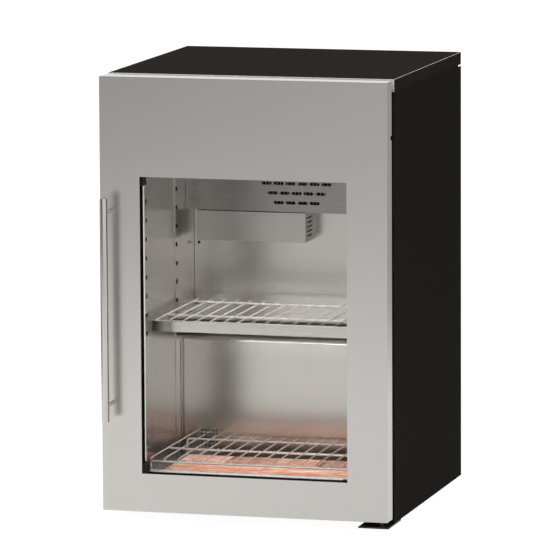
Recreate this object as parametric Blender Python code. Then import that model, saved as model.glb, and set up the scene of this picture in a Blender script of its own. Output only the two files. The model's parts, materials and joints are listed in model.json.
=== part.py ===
"""Under-counter dry aging cabinet with a glazed, handled door.

The front faces -Y, the hinge side is +X and the feet stand on Z = 0. All sizes are in metres.
"""
import math

import bpy
import bmesh
from mathutils import Matrix, Vector

# Overall sizes
WIDTH = 0.600
DEPTH = 0.624
BODY_HEIGHT = 0.902
FOOT_HEIGHT = 0.012
CLEARANCE = 0.0003
OVERRUN = 0.004
FINE_STEPS = 24
COARSE_STEPS = 12
WIRE_SIDES = 6

# Outer casing
CASING_SHEET = 0.0012
BASE_SHEET = 0.0015
REAR_RECESS = 0.024
NOTCH_HEIGHT = 0.004
LID_THICKNESS = 0.025
LID_BEVEL = 0.0015
LID_SHEET = 0.0015
EDGE_TRIM_SHEET = 0.0015

# Cavity and its liner
WALL = 0.058
FLOOR_WALL = 0.056
CEILING_WALL = 0.176
UPPER_DEPTH = 0.414
LOWER_DEPTH = 0.307
STEP_HEIGHT = 0.2683
STEP_BEND = 0.015
BEND_STEPS = 5
LINER_SHEET = 0.001
COMPARTMENT_FOAM = 0.045

# Door
DOOR_THICKNESS = 0.0385
DOOR_LIFT = 0.011
DOOR_TOP_DROP = 0.001
DOOR_SHEET = 0.001
DOOR_BEVEL = 0.0018
GASKET_GAP = 0.0195
WINDOW_JAMB = 0.0839
WINDOW_HEAD = 0.2025
WINDOW_SILL = 0.079
PANE_THICKNESS = 0.004
PANE_GAP = 0.018
PANE_EDGE = 0.008
GLAZING_PLAY = 0.0005
BEAD_INSET = 0.003
GASKET_WIDTH = 0.016
GASKET_MARGIN = 0.014

# Handle
HANDLE_DIAMETER = 0.016
HANDLE_LENGTH = 0.4578
HANDLE_FROM_EDGE = 0.021
HANDLE_STANDOFF = 0.043
HANDLE_SILL = 0.1899
STANDOFF_DIAMETER = 0.008
STANDOFF_INSET = 0.0316
STANDOFF_SINK = 0.004
HANDLE_BEVEL = 0.001

# Hinges
HINGE_FROM_EDGE = 0.0195
HINGE_SETBACK = 0.027
PIN_DIAMETER = 0.008
BUSH_DIAMETER = 0.012
BUSH_FLANGE = 0.018
BUSH_FLANGE_THICKNESS = 0.0025
BUSH_LENGTH = 0.015
PIN_ENGAGEMENT = 0.012
PLATE_WIDTH = 0.064
PLATE_LENGTH = 0.100
PLATE_SETBACK = 0.008
PLATE_THICKNESS = 0.003
ARM_DROP = 0.119
ARM_THICKNESS = 0.005
ARM_WIDTH = 0.008
ARM_SPREAD = 0.025
ARM_POCKET_HEIGHT = 0.0095
ARM_POCKET_PLAY = 0.001
DOOR_SWING = math.radians(105)
BRACKET_WIDTH = 0.024
BRACKET_HEIGHT = 0.046

# Controls
FASCIA_GAP = 0.034
DISPLAY_SIZE = (0.062, 0.026)
DISPLAY_PROUD = 0.001
BUTTON_DIAMETER = 0.012
BUTTON_PROUD = 0.003
BUTTON_BACK = 0.004
BUTTON_PITCH = 0.024
BUTTON_OFFSET = 0.056
SWITCH_SIZE = (0.013, 0.022)
SWITCH_PROUD = 0.0035
SWITCH_BACK = 0.0045
SWITCH_OFFSET = -0.070
SWITCH_PLAY = 0.0012
CONTROL_POCKET = (0.250, 0.030, 0.060)

# Shelf uprights and runners
UPRIGHT_WIDTH = 0.018
UPRIGHT_DEPTH = 0.0015
UPRIGHT_SHEET = 0.001
UPRIGHT_END = 0.003
FRONT_UPRIGHT_SETBACK = 0.064
REAR_UPRIGHT_GAP = 0.028
SLOT_WIDTH = 0.006
SLOT_HEIGHT = 0.009
SLOT_PITCH = 0.039
FIRST_SLOT = 0.027
RUNNER_SHEET = 0.0012
RUNNER_HEIGHT = 0.0171
RUNNER_LEDGE = 0.035
RUNNER_END = 0.004
SHELF_SHARE = 0.2462

# Racks
RACK_SIDE_GAP = 0.022
RACK_WIRE_COUNT = 16
THIN_WIRE = 0.003
THICK_WIRE = 0.005
WELD_SINK = 0.0006
UPPER_RACK_REAR_GAP = 0.0532
UPPER_CROSS_SHARES = (0.026, 0.308, 0.925)
TRIM_SHEET = 0.0012
TRIM_CHANNEL = 0.046
TRIM_LIP = 0.016
TRIM_GAP = 0.001
LOWER_RACK_FRONT = 0.008
LOWER_RACK_REAR_GAP = 0.003
LOWER_RACK_HEIGHT = 0.055
LOWER_CROSS_SHARES = (0.47, 0.885)
LOWER_BEND_SHARE = 0.09
LOWER_BEND_DROP = 0.002
LEG_INSET = 0.0015

# Salt tray and bricks
BRICK_WIDTH = 0.100
BRICK_THICKNESS = 0.025
BRICK_GAP = 0.001
BRICK_CHAMFER = 0.0015
BRICK_TONES = (("orange", "orange"), ("pale", "red", "tan", "red"))
TRAY_SHEET = 0.001
TRAY_HEIGHT = 0.019
TRAY_SETBACK = 0.020
TRAY_SIDE_GAP = 0.0395

# Air panel and its slots
AIR_CHAMBER = 0.063
AIR_PANEL_DROP = 0.146
AIR_PANEL_SHEET = 0.001
AIR_PANEL_FLANGE = 0.012
VENT_LENGTH = 0.0213
VENT_HEIGHT = 0.0055
VENT_PITCH = 0.025
VENT_ROW_PITCH = 0.020
VENT_TOP_COUNT = 6
VENT_ROW_COUNT = 3
VENT_FROM_BOTTOM = 0.020
PROBE_HOLE = 0.0032
PROBE_PITCH = 0.008
PROBE_COUNT = 5
PROBE_LAST_COUNT = 3
PROBE_FROM_WALL = 0.062
PROBE_HEIGHT = 0.047

# Fan cover, circulation fan and evaporator
COVER_WIDTH = 0.2355
COVER_HEIGHT = 0.0625
COVER_PROUD = 0.005
COVER_FROM_WALL = 0.0265
COVER_SHEET = 0.001
LOUVRE_LENGTH = 0.040
LOUVRE_HEIGHT = 0.003
LOUVRE_PITCH = 0.0095
LOUVRE_COUNT = 5
ROTOR_DIAMETER = 0.042
ROTOR_LENGTH = 0.130
ROTOR_DISC = 0.002
ROTOR_BLADE_COUNT = 12
ROTOR_OFFSET = 0.2
ROTOR_BLADE = (0.007, 0.001)
ROTOR_SHAFT = 0.006
FAN_MOTOR_DIAMETER = 0.046
FAN_MOTOR_LENGTH = 0.042
FAN_MOTOR_FOOT = 0.026
EVAPORATOR_WIDTH = 0.380
EVAPORATOR_HEIGHT = 0.080
EVAPORATOR_LIFT = 0.020
EVAPORATOR_FIN_COUNT = 12
EVAPORATOR_COLUMN_COUNT = 2
EVAPORATOR_ROW_COUNT = 2
FIN_SHEET = 0.0015
COIL_TUBE = 0.009

# Machine compartment
COMPRESSOR_DIAMETER = 0.128
COMPRESSOR_HEIGHT = 0.150
COMPRESSOR_FROM_SIDE = 0.140
COMPRESSOR_BOTTOM_SHARES = ((0, 0), (0.72, 0), (0.94, 0.22), (1, 0.5))
COMPRESSOR_TOP_SHARES = ((1, 0.75), (0.92, 0.36), (0.68, 0.1), (0.36, 0), (0, 0))
COMPRESSOR_PLATE = (0.150, 0.120, 0.003)
GROMMET_DIAMETER = 0.020
GROMMET_HEIGHT = 0.014
GROMMET_INSET = 0.013
CONDENSER_SIDE_GAP = 0.02375
CONDENSER_THICKNESS = 0.044
CONDENSER_HEIGHT = 0.180
CONDENSER_FROM_SIDE = 0.062
CONDENSER_FIN_COUNT = 10
CONDENSER_COLUMN_COUNT = 2
CONDENSER_ROW_COUNT = 3
SHROUD_DEPTH = 0.034
SHROUD_SHEET = 0.002
SHROUD_RIM = 0.003
FAN_TIP_GAP = 0.005
FAN_BLADE_COUNT = 5
FAN_BLADE_SHEET = 0.002
FAN_BLADE_CHORD = 0.034
FAN_BLADE_PITCH = math.radians(28)
FAN_HUB = 0.036
FAN_HUB_DEPTH = 0.014
MOTOR_BOSS_DEPTH = 0.012
SPIDER_ARM = 0.010
GRILLE_SLOT_HEIGHT = 0.006
GRILLE_COLUMN_COUNT = 4
GRILLE_ROW_COUNT = 9
GRILLE_ROW_PITCH = 0.020
GRILLE_MARGIN = 0.030
GRILLE_BRIDGE = 0.024
INLET_SIZE = (0.050, 0.028)
INLET_DEPTH = 0.020
INLET_PROUD = 0.003
INLET_FROM_SIDE = 0.070
INLET_HEIGHT = 0.030
INLET_POCKET = (0.026, 0.017)
INLET_POCKET_DEPTH = 0.014

# Feet
FOOT_DIAMETER = 0.036
FOOT_PAD = 0.005
FOOT_TAPER = 0.003
FOOT_NECK = 0.016
STUD_DIAMETER = 0.010
STUD_LENGTH = 0.020
STUD_PLAY = 0.0003
FOOT_FROM_SIDE = 0.055
FOOT_FROM_FRONT = 0.085
FOOT_FROM_REAR = 0.095

# Places worked out from the sizes above
HALF_WIDTH = WIDTH / 2
HANDLE_REACH = HANDLE_STANDOFF + HANDLE_DIAMETER / 2
DOOR_FRONT = (HANDLE_REACH - DEPTH) / 2
DOOR_BACK = DOOR_FRONT + DOOR_THICKNESS
BODY_FRONT = DOOR_BACK + GASKET_GAP
BODY_REAR = DOOR_FRONT + DEPTH
BASE_Z = FOOT_HEIGHT
TOP_Z = BASE_Z + BODY_HEIGHT
LID_Z = TOP_Z - LID_THICKNESS
CASING_TOP = LID_Z - CLEARANCE
DOOR_BOTTOM = BASE_Z + DOOR_LIFT
DOOR_TOP = TOP_Z - DOOR_TOP_DROP
INNER_HALF = HALF_WIDTH - CASING_SHEET - CLEARANCE
PANEL_REAR = BODY_REAR - REAR_RECESS
PANEL_INNER = PANEL_REAR - CASING_SHEET - CLEARANCE
FRAME_BACK = BODY_FRONT + CASING_SHEET

CAVITY_HALF = HALF_WIDTH - WALL
RACK_WIDTH = 2 * (CAVITY_HALF - RACK_SIDE_GAP)
CAVITY_FLOOR = BASE_Z + FLOOR_WALL
CAVITY_TOP = TOP_Z - CEILING_WALL
UPPER_REAR = BODY_FRONT + UPPER_DEPTH
LOWER_REAR = BODY_FRONT + LOWER_DEPTH
TRAY_HALF = CAVITY_HALF - TRAY_SIDE_GAP
BRICK_LENGTH = (2 * (TRAY_HALF - TRAY_SHEET) - 3 * BRICK_GAP) / 2
STEP_TOP = CAVITY_FLOOR + STEP_HEIGHT
COMPARTMENT_FRONT = LOWER_REAR + LINER_SHEET + COMPARTMENT_FOAM
COMPARTMENT_TOP = STEP_TOP - LINER_SHEET - COMPARTMENT_FOAM
COMPRESSOR_CENTRE = HALF_WIDTH - COMPRESSOR_FROM_SIDE
CONDENSER_WIDTH = PANEL_INNER - COMPARTMENT_FRONT - 2 * CONDENSER_SIDE_GAP
SHROUD_HOLE = min(CONDENSER_WIDTH, CONDENSER_HEIGHT) - 2 * SHROUD_RIM
FAN_DIAMETER = SHROUD_HOLE - 2 * FAN_TIP_GAP
FASCIA_Z = CAVITY_TOP + FASCIA_GAP
FLOOR_SEAT = CAVITY_FLOOR + CLEARANCE
BASE_SEAT = BASE_Z + BASE_SHEET + CLEARANCE

WINDOW_HALF = HALF_WIDTH - WINDOW_JAMB
WINDOW_LOW = DOOR_BOTTOM + WINDOW_SILL
WINDOW_HIGH = DOOR_TOP - WINDOW_HEAD
GLASS_FRONT = DOOR_FRONT + DOOR_SHEET + GLAZING_PLAY
GLASS_REAR = GLASS_FRONT + 2 * PANE_THICKNESS + PANE_GAP
GLAZING_EDGE = PANE_EDGE + 2 * CLEARANCE

HINGE_X = HALF_WIDTH - HINGE_FROM_EDGE
HINGE_Y = DOOR_FRONT + HINGE_SETBACK
PLATE_TOP = BASE_Z - CLEARANCE
ARM_POCKET_Z = DOOR_TOP - ARM_DROP
ARM_Z = ARM_POCKET_Z + (ARM_POCKET_HEIGHT - ARM_THICKNESS) / 2

AIR_PANEL_Z = CAVITY_TOP - AIR_PANEL_DROP
SHELF_STACK = RUNNER_HEIGHT + THICK_WIRE - WELD_SINK
SHELF_ROOM = AIR_PANEL_Z - COVER_HEIGHT - STEP_TOP - SHELF_STACK
SHELF_Z = STEP_TOP + SHELF_STACK + SHELF_SHARE * SHELF_ROOM
THIN_Z = SHELF_Z + THIN_WIRE / 2 + CLEARANCE
CROSS_DROP = (THIN_WIRE + THICK_WIRE) / 2 - WELD_SINK
CROSS_Z = THIN_Z - CROSS_DROP
LEDGE_Z = CROSS_Z - THICK_WIRE / 2 - CLEARANCE
UPRIGHT_FACE = CAVITY_HALF - CLEARANCE - UPRIGHT_DEPTH
AIR_PANEL_FRONT = UPPER_REAR - AIR_CHAMBER
COVER_LEFT = -CAVITY_HALF + COVER_FROM_WALL
COVER_RIGHT = COVER_LEFT + COVER_WIDTH
COVER_TOP = AIR_PANEL_Z - CLEARANCE
COVER_FRONT = AIR_PANEL_FRONT - COVER_PROUD
FAN_Y = (COVER_FRONT + UPPER_REAR) / 2
FAN_Z = COVER_TOP - COVER_HEIGHT / 2


def finish(name, colour, roughness, metallic=0.0):
    """Makes one Principled material."""
    made = bpy.data.materials.new(name)
    made.use_nodes = True
    shader = made.node_tree.nodes["Principled BSDF"]
    shader.inputs["Base Color"].default_value = (*colour, 1.0)
    shader.inputs["Roughness"].default_value = roughness
    shader.inputs["Metallic"].default_value = metallic
    return made


def add_object(name, mesh_data, material):
    """Puts a bmesh into the scene as a named object."""
    mesh = bpy.data.meshes.new(name)
    bmesh.ops.recalc_face_normals(mesh_data, faces=mesh_data.faces)
    mesh_data.to_mesh(mesh)
    mesh_data.free()
    made = bpy.data.objects.new(name, mesh)
    bpy.context.collection.objects.link(made)
    if material:
        mesh.materials.append(material)
    return made


def add_cutter(name, mesh_data):
    """Puts a bmesh into the scene as a cutting shape that is left out of the part."""
    made = add_object(name, mesh_data, None)
    made.hide_render = True
    made.display_type = "WIRE"
    return made


def add_box(mesh_data, x, y, z):
    """Adds a box between the low and high of each span, and returns its corners."""
    size = Vector((x[1] - x[0], y[1] - y[0], z[1] - z[0]))
    centre = Vector((x[0] + x[1], y[0] + y[1], z[0] + z[1])) / 2
    place = Matrix.Translation(centre) @ Matrix.Diagonal((*size, 1))
    return bmesh.ops.create_cube(mesh_data, size=1, matrix=place)["verts"]


def add_rod(mesh_data, start, end, diameter, steps):
    """Adds a closed round bar from one point to another."""
    start = Vector(start)
    along = Vector(end) - start
    turn = along.to_track_quat("Z", "Y").to_matrix().to_4x4()
    place = Matrix.Translation(start + along / 2) @ turn
    return bmesh.ops.create_cone(mesh_data, cap_ends=True, segments=steps, radius1=diameter / 2,
                                 radius2=diameter / 2, depth=along.length, matrix=place)["verts"]


def block(name, x, y, z, material, bevel=0.0):
    """Makes a box object, with its edges bevelled if a width is given."""
    shape = bmesh.new()
    add_box(shape, x, y, z)
    made = add_object(name, shape, material)
    if bevel:
        add_bevel(made, bevel)
    return made


def add_bevel(thing, width, segments=1):
    """Bevels the sharp edges of an object."""
    bevel = thing.modifiers.new("Bevel", "BEVEL")
    bevel.width = width
    bevel.segments = segments
    bevel.limit_method = "ANGLE"


def subtract(thing, cutter):
    """Cuts one object's shape out of another."""
    cut = thing.modifiers.new("Cut", "BOOLEAN")
    cut.operation = "DIFFERENCE"
    cut.solver = "EXACT"
    cut.object = cutter


def unite(thing, other):
    """Welds a helper shape on to an object."""
    weld = thing.modifiers.new("Weld", "BOOLEAN")
    weld.operation = "UNION"
    weld.solver = "EXACT"
    weld.object = other


def prism(outline, z):
    """Extrudes an outline of (x, y) points between two heights."""
    shape = bmesh.new()
    face = shape.faces.new([shape.verts.new((x, y, z[0])) for x, y in outline])
    extruded = bmesh.ops.extrude_face_region(shape, geom=[face])
    moved = [item for item in extruded["geom"] if isinstance(item, bmesh.types.BMVert)]
    bmesh.ops.translate(shape, verts=moved, vec=(0, 0, z[1] - z[0]))
    return shape


def cut_box(thing, x, y, z):
    """Cuts a box out of an object."""
    shape = bmesh.new()
    add_box(shape, x, y, z)
    subtract(thing, add_cutter(thing.name + "_cutter", shape))


def cut_rod(thing, start, end, diameter, steps=FINE_STEPS):
    """Bores a round hole through an object."""
    shape = bmesh.new()
    add_rod(shape, start, end, diameter, steps)
    subtract(thing, add_cutter(thing.name + "_bore", shape))


def grown(span, amount):
    """Widens a span at both ends."""
    return (span[0] - amount, span[1] + amount)


def about(centre, size):
    """Gives the span of a size about its centre."""
    return (centre - size / 2, centre + size / 2)


def evenly(span, count):
    """Lists the middles of equal shares of a span."""
    share = (span[1] - span[0]) / count
    return [span[0] + share / 2 + index * share for index in range(count)]


def mirrored(side, near, far):
    """Gives a span on the left (side -1) or right (side 1) from distances to the middle."""
    return tuple(sorted((side * near, side * far)))


def smooth(thing):
    """Shades the round stretches smooth and keeps the sharp edges."""
    thing.data.shade_smooth()
    thing.data.set_sharp_from_angle(angle=math.radians(35))


def turned(name, profile, centre, axis, steps, material):
    """Spins a profile of (radius, height) points about an axis through a centre."""
    shape = bmesh.new()
    corners = [shape.verts.new((radius, 0, height)) for radius, height in profile]
    edges = [shape.edges.new(pair) for pair in zip(corners, corners[1:])]
    bmesh.ops.spin(shape, geom=corners + edges, cent=(0, 0, 0), axis=(0, 0, 1), angle=math.tau,
                   steps=steps, use_merge=True, use_duplicate=False)
    bmesh.ops.remove_doubles(shape, verts=shape.verts, dist=CLEARANCE / 10)
    turn = Vector(axis).to_track_quat("Z", "Y").to_matrix().to_4x4()
    bmesh.ops.transform(shape, matrix=turn, verts=shape.verts)
    made = add_object(name, shape, material)
    made.location = centre
    smooth(made)
    return made


def ring(name, outer, inner, y, material):
    """Makes a flat rectangular ring from outer and inner spans in X and Z."""
    made = block(name, outer[0], y, outer[1], material)
    cut_box(made, inner[0], grown(y, OVERRUN), inner[1])
    return made


def stepped_outline(offset):
    """Lists the cavity's side view from front bottom round to front top, grown by an offset."""
    points = [(CAVITY_FLOOR - offset, BODY_FRONT), (CAVITY_FLOOR - offset, LOWER_REAR + offset)]
    radius = STEP_BEND - offset
    centre_y = LOWER_REAR + STEP_BEND
    centre_z = STEP_TOP - STEP_BEND
    for step in range(BEND_STEPS + 1):
        angle = math.pi / 2 * step / BEND_STEPS
        points.append((centre_z + radius * math.sin(angle), centre_y - radius * math.cos(angle)))
    points.append((STEP_TOP - offset, UPPER_REAR + offset))
    points.append((CAVITY_TOP + offset, UPPER_REAR + offset))
    points.append((CAVITY_TOP + offset, BODY_FRONT))
    return points


def stepped_prism(offset, front_overrun):
    """Extrudes the stepped side view across the cavity, grown by an offset."""
    shape = bmesh.new()
    half = CAVITY_HALF + offset
    corners = []
    for z, y in stepped_outline(offset):
        pushed = y - front_overrun if y <= BODY_FRONT else y
        corners.append(shape.verts.new((-half, pushed, z)))
    face = shape.faces.new(corners)
    extruded = bmesh.ops.extrude_face_region(shape, geom=[face])
    moved = [item for item in extruded["geom"] if isinstance(item, bmesh.types.BMVert)]
    bmesh.ops.translate(shape, verts=moved, vec=(2 * half, 0, 0))
    return shape


def clear_scene():
    """Removes every object that the scene opens with."""
    for thing in list(bpy.data.objects):
        bpy.data.objects.remove(thing, do_unlink=True)


def make_casing(paint, steel, insulation):
    """Makes the black outer shell, the frame round the cavity mouth and the foam."""
    for side, name in ((-1, "side_panel_left"), (1, "side_panel_right")):
        panel = block(name, mirrored(side, HALF_WIDTH - CASING_SHEET, HALF_WIDTH),
                      (BODY_FRONT, BODY_REAR), (BASE_Z, CASING_TOP), paint)
        cut_box(panel, mirrored(side, HALF_WIDTH - OVERRUN, HALF_WIDTH + OVERRUN),
                (PANEL_REAR, BODY_REAR + OVERRUN), (CASING_TOP - NOTCH_HEIGHT, CASING_TOP + OVERRUN))

    across = (-INNER_HALF, INNER_HALF)
    block("back_panel", across, (PANEL_REAR - CASING_SHEET, PANEL_REAR),
          (COMPARTMENT_TOP + CLEARANCE, CASING_TOP), paint)
    base = block("base_pan", across, (FRAME_BACK + CLEARANCE, PANEL_REAR),
                 (BASE_Z, BASE_Z + BASE_SHEET), paint)
    for x, y in foot_places():
        cut_rod(base, (x, y, BASE_Z - OVERRUN), (x, y, BASE_Z + BASE_SHEET + OVERRUN),
                STUD_DIAMETER + 2 * STUD_PLAY, COARSE_STEPS)

    lid_front = BODY_FRONT + EDGE_TRIM_SHEET + CLEARANCE
    lid = block("top_panel", (-HALF_WIDTH, HALF_WIDTH), (lid_front, BODY_REAR), (LID_Z, TOP_Z), paint,
                LID_BEVEL)
    cut_box(lid, grown((-HALF_WIDTH, HALF_WIDTH), -LID_SHEET), grown((lid_front, BODY_REAR), -LID_SHEET),
            (LID_Z - OVERRUN, TOP_Z - LID_SHEET))
    block("top_edge_trim", (-HALF_WIDTH, HALF_WIDTH), (BODY_FRONT, BODY_FRONT + EDGE_TRIM_SHEET),
          (LID_Z, TOP_Z), steel)

    rim = LINER_SHEET + CLEARANCE
    mouth = ((-CAVITY_HALF - rim, CAVITY_HALF + rim), (CAVITY_FLOOR - rim, CAVITY_TOP + rim))
    ring("front_frame", (across, (BASE_Z, FASCIA_Z - CLEARANCE)), mouth, (BODY_FRONT, FRAME_BACK), paint)

    foam = block("insulation_foam", across, (FRAME_BACK + CLEARANCE, PANEL_INNER),
                 (BASE_SEAT, CASING_TOP), insulation)
    subtract(foam, add_cutter("foam_cavity", stepped_prism(rim, OVERRUN)))
    cut_box(foam, grown(across, OVERRUN), (COMPARTMENT_FRONT, PANEL_INNER + OVERRUN),
            (BASE_SEAT - OVERRUN, COMPARTMENT_TOP))
    pocket_z = about((FASCIA_Z + CASING_TOP) / 2, CONTROL_POCKET[2])
    cut_box(foam, about(0, CONTROL_POCKET[0]), (BODY_FRONT, FRAME_BACK + CONTROL_POCKET[1]), pocket_z)
    for x, y in foot_places():
        if y < 0:
            cut_rod(foam, (x, y, BASE_SEAT - OVERRUN), (x, y, BASE_Z + STUD_LENGTH + OVERRUN),
                    STUD_DIAMETER + OVERRUN, COARSE_STEPS)


def make_liner(steel):
    """Makes the stepped stainless liner with its perforated probe guard."""
    liner = add_object("inner_liner", stepped_prism(LINER_SHEET, 0), steel)
    subtract(liner, add_cutter("liner_cavity", stepped_prism(0, OVERRUN)))
    holes = bmesh.new()
    for row in range(PROBE_COUNT):
        count = PROBE_LAST_COUNT if row == 0 else PROBE_COUNT
        z = CAVITY_FLOOR + PROBE_HEIGHT + (row - (PROBE_COUNT - 1) / 2) * PROBE_PITCH
        for column in range(count):
            x = -CAVITY_HALF + PROBE_FROM_WALL + (column - (count - 1) / 2) * PROBE_PITCH
            add_rod(holes, (x, LOWER_REAR - OVERRUN, z), (x, LOWER_REAR + LINER_SHEET + OVERRUN, z),
                    PROBE_HOLE, WIRE_SIDES)
    subtract(liner, add_cutter("probe_holes", holes))


def add_slot(shape, centre_x, z, y, length, height):
    """Adds a round-ended slot cutter that runs across a sheet."""
    radius = height / 2
    reach = length / 2 - radius
    corners = []
    for end, start_angle in ((1, -math.pi / 2), (-1, math.pi / 2)):
        for step in range(BEND_STEPS + 1):
            angle = start_angle + math.pi * step / BEND_STEPS
            x = centre_x + end * reach + radius * math.cos(angle)
            corners.append(shape.verts.new((x, y[0], z + radius * math.sin(angle))))
    face = shape.faces.new(corners)
    extruded = bmesh.ops.extrude_face_region(shape, geom=[face])
    moved = [item for item in extruded["geom"] if isinstance(item, bmesh.types.BMVert)]
    bmesh.ops.translate(shape, verts=moved, vec=(0, y[1] - y[0], 0))


def make_air_panel(steel):
    """Makes the slotted panel in front of the evaporator, with its bottom flange."""
    across = (-CAVITY_HALF + CLEARANCE, CAVITY_HALF - CLEARANCE)
    sheet = (AIR_PANEL_FRONT, AIR_PANEL_FRONT + AIR_PANEL_SHEET)
    panel = block("air_panel", across, (sheet[0], sheet[0] + AIR_PANEL_FLANGE),
                  (AIR_PANEL_Z, CAVITY_TOP - CLEARANCE), steel)
    cut_box(panel, grown(across, OVERRUN), (sheet[1], sheet[0] + AIR_PANEL_FLANGE + OVERRUN),
            (AIR_PANEL_Z + AIR_PANEL_SHEET, CAVITY_TOP + OVERRUN))
    vents = bmesh.new()
    for row in range(VENT_ROW_COUNT):
        count = VENT_TOP_COUNT - row
        z = AIR_PANEL_Z + VENT_FROM_BOTTOM + (VENT_ROW_COUNT - 1 - row) * VENT_ROW_PITCH
        for column in range(count):
            x = (column - (count - 1) / 2) * VENT_PITCH
            add_slot(vents, x, z, grown(sheet, OVERRUN), VENT_LENGTH, VENT_HEIGHT)
    subtract(panel, add_cutter("vents", vents))


def make_fan_cover(steel):
    """Makes the louvred cover of the circulation fan, open to the chamber above and behind."""
    x = (COVER_LEFT, COVER_RIGHT)
    y = (COVER_FRONT, UPPER_REAR - CLEARANCE)
    z = (COVER_TOP - COVER_HEIGHT, COVER_TOP)
    cover = block("fan_cover", x, y, z, steel)
    cut_box(cover, grown(x, -COVER_SHEET), (y[0] + COVER_SHEET, y[1] + OVERRUN),
            (z[0] + COVER_SHEET, z[1] + OVERRUN))
    louvres = bmesh.new()
    for row in range(LOUVRE_COUNT):
        height = FAN_Z + (row - (LOUVRE_COUNT - 1) / 2) * LOUVRE_PITCH
        for edge in x:
            add_box(louvres, grown((edge, edge), OVERRUN), about(FAN_Y, LOUVRE_LENGTH),
                    about(height, LOUVRE_HEIGHT))
    subtract(cover, add_cutter("louvres", louvres))


def make_circulation_fan(plastic, dark):
    """Makes the cross-flow rotor and the motor that carries it in the cover."""
    motor_left = COVER_LEFT + COVER_SHEET + FAN_MOTOR_FOOT / 2
    motor_right = motor_left + FAN_MOTOR_LENGTH
    shape = bmesh.new()
    add_rod(shape, (motor_left, FAN_Y, FAN_Z), (motor_right, FAN_Y, FAN_Z), FAN_MOTOR_DIAMETER, FINE_STEPS)
    motor = add_object("fan_motor", shape, dark)
    smooth(motor)
    foot = bmesh.new()
    foot_top = FAN_Z - FAN_MOTOR_DIAMETER / 2 + OVERRUN
    add_box(foot, about((motor_left + motor_right) / 2, FAN_MOTOR_FOOT), about(FAN_Y, FAN_MOTOR_FOOT),
            (COVER_TOP - COVER_HEIGHT + COVER_SHEET + CLEARANCE, foot_top))
    unite(motor, add_cutter("fan_motor_foot", foot))

    shaft_start = motor_right + CLEARANCE
    shaft_end = COVER_RIGHT - COVER_SHEET - CLEARANCE
    middle = (shaft_start + shaft_end) / 2
    discs = bmesh.new()
    for share in (-1, 0, 1):
        x = middle + share * (ROTOR_LENGTH - ROTOR_DISC) / 2
        add_rod(discs, (x - ROTOR_DISC / 2, FAN_Y, FAN_Z), (x + ROTOR_DISC / 2, FAN_Y, FAN_Z),
                ROTOR_DIAMETER, FINE_STEPS)
    rotor = add_object("circulation_rotor", discs, plastic)
    blades = bmesh.new()
    radius = ROTOR_DIAMETER / 2 - ROTOR_BLADE[0] / 2
    for step in range(ROTOR_BLADE_COUNT):
        corners = add_box(blades, about(0, ROTOR_LENGTH - ROTOR_DISC), about(0, ROTOR_BLADE[1]),
                          about(radius, ROTOR_BLADE[0] - ROTOR_BLADE[1]))
        turn = Matrix.Rotation(math.tau * (step + ROTOR_OFFSET) / ROTOR_BLADE_COUNT, 4, "X")
        place = Matrix.Translation((middle, FAN_Y, FAN_Z))
        bmesh.ops.transform(blades, matrix=place @ turn, verts=corners)
    unite(rotor, add_cutter("rotor_blades", blades))
    shaft = bmesh.new()
    add_rod(shaft, (shaft_start, FAN_Y, FAN_Z), (shaft_end, FAN_Y, FAN_Z), ROTOR_SHAFT, COARSE_STEPS)
    unite(rotor, add_cutter("rotor_shaft", shaft))


def make_coil(name, spans, stacked, fins, columns, rows, material):
    """Makes a finned coil: plates stacked along one axis, with tubes through all of them."""
    z = spans["Z"]
    plates = bmesh.new()
    low, high = spans[stacked]
    pitch = (high - low - FIN_SHEET) / (fins - 1)
    for index in range(fins):
        start = low + index * pitch
        plate = dict(spans)
        plate[stacked] = (start, start + FIN_SHEET)
        add_box(plates, plate["X"], plate["Y"], plate["Z"])
    coil = add_object(name, plates, material)
    pipes = bmesh.new()
    across = spans["Y" if stacked == "X" else "X"]
    inside = FIN_SHEET / 2
    for place in evenly(across, columns):
        for height in evenly(z, rows):
            if stacked == "X":
                ends = ((low + inside, place, height), (high - inside, place, height))
            else:
                ends = ((place, low + inside, height), (place, high - inside, height))
            add_rod(pipes, ends[0], ends[1], COIL_TUBE, WIRE_SIDES)
    unite(coil, add_cutter(name + "_tubes", pipes))


def make_evaporator(metal):
    """Makes the evaporator coil between the air panel and the rear wall."""
    low = AIR_PANEL_Z + EVAPORATOR_LIFT
    spans = {"X": about(0, EVAPORATOR_WIDTH), "Z": (low, low + EVAPORATOR_HEIGHT),
             "Y": (AIR_PANEL_FRONT + AIR_PANEL_SHEET + CLEARANCE, UPPER_REAR - CLEARANCE)}
    make_coil("evaporator_coil", spans, "X", EVAPORATOR_FIN_COUNT, EVAPORATOR_COLUMN_COUNT,
              EVAPORATOR_ROW_COUNT, metal)


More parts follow.
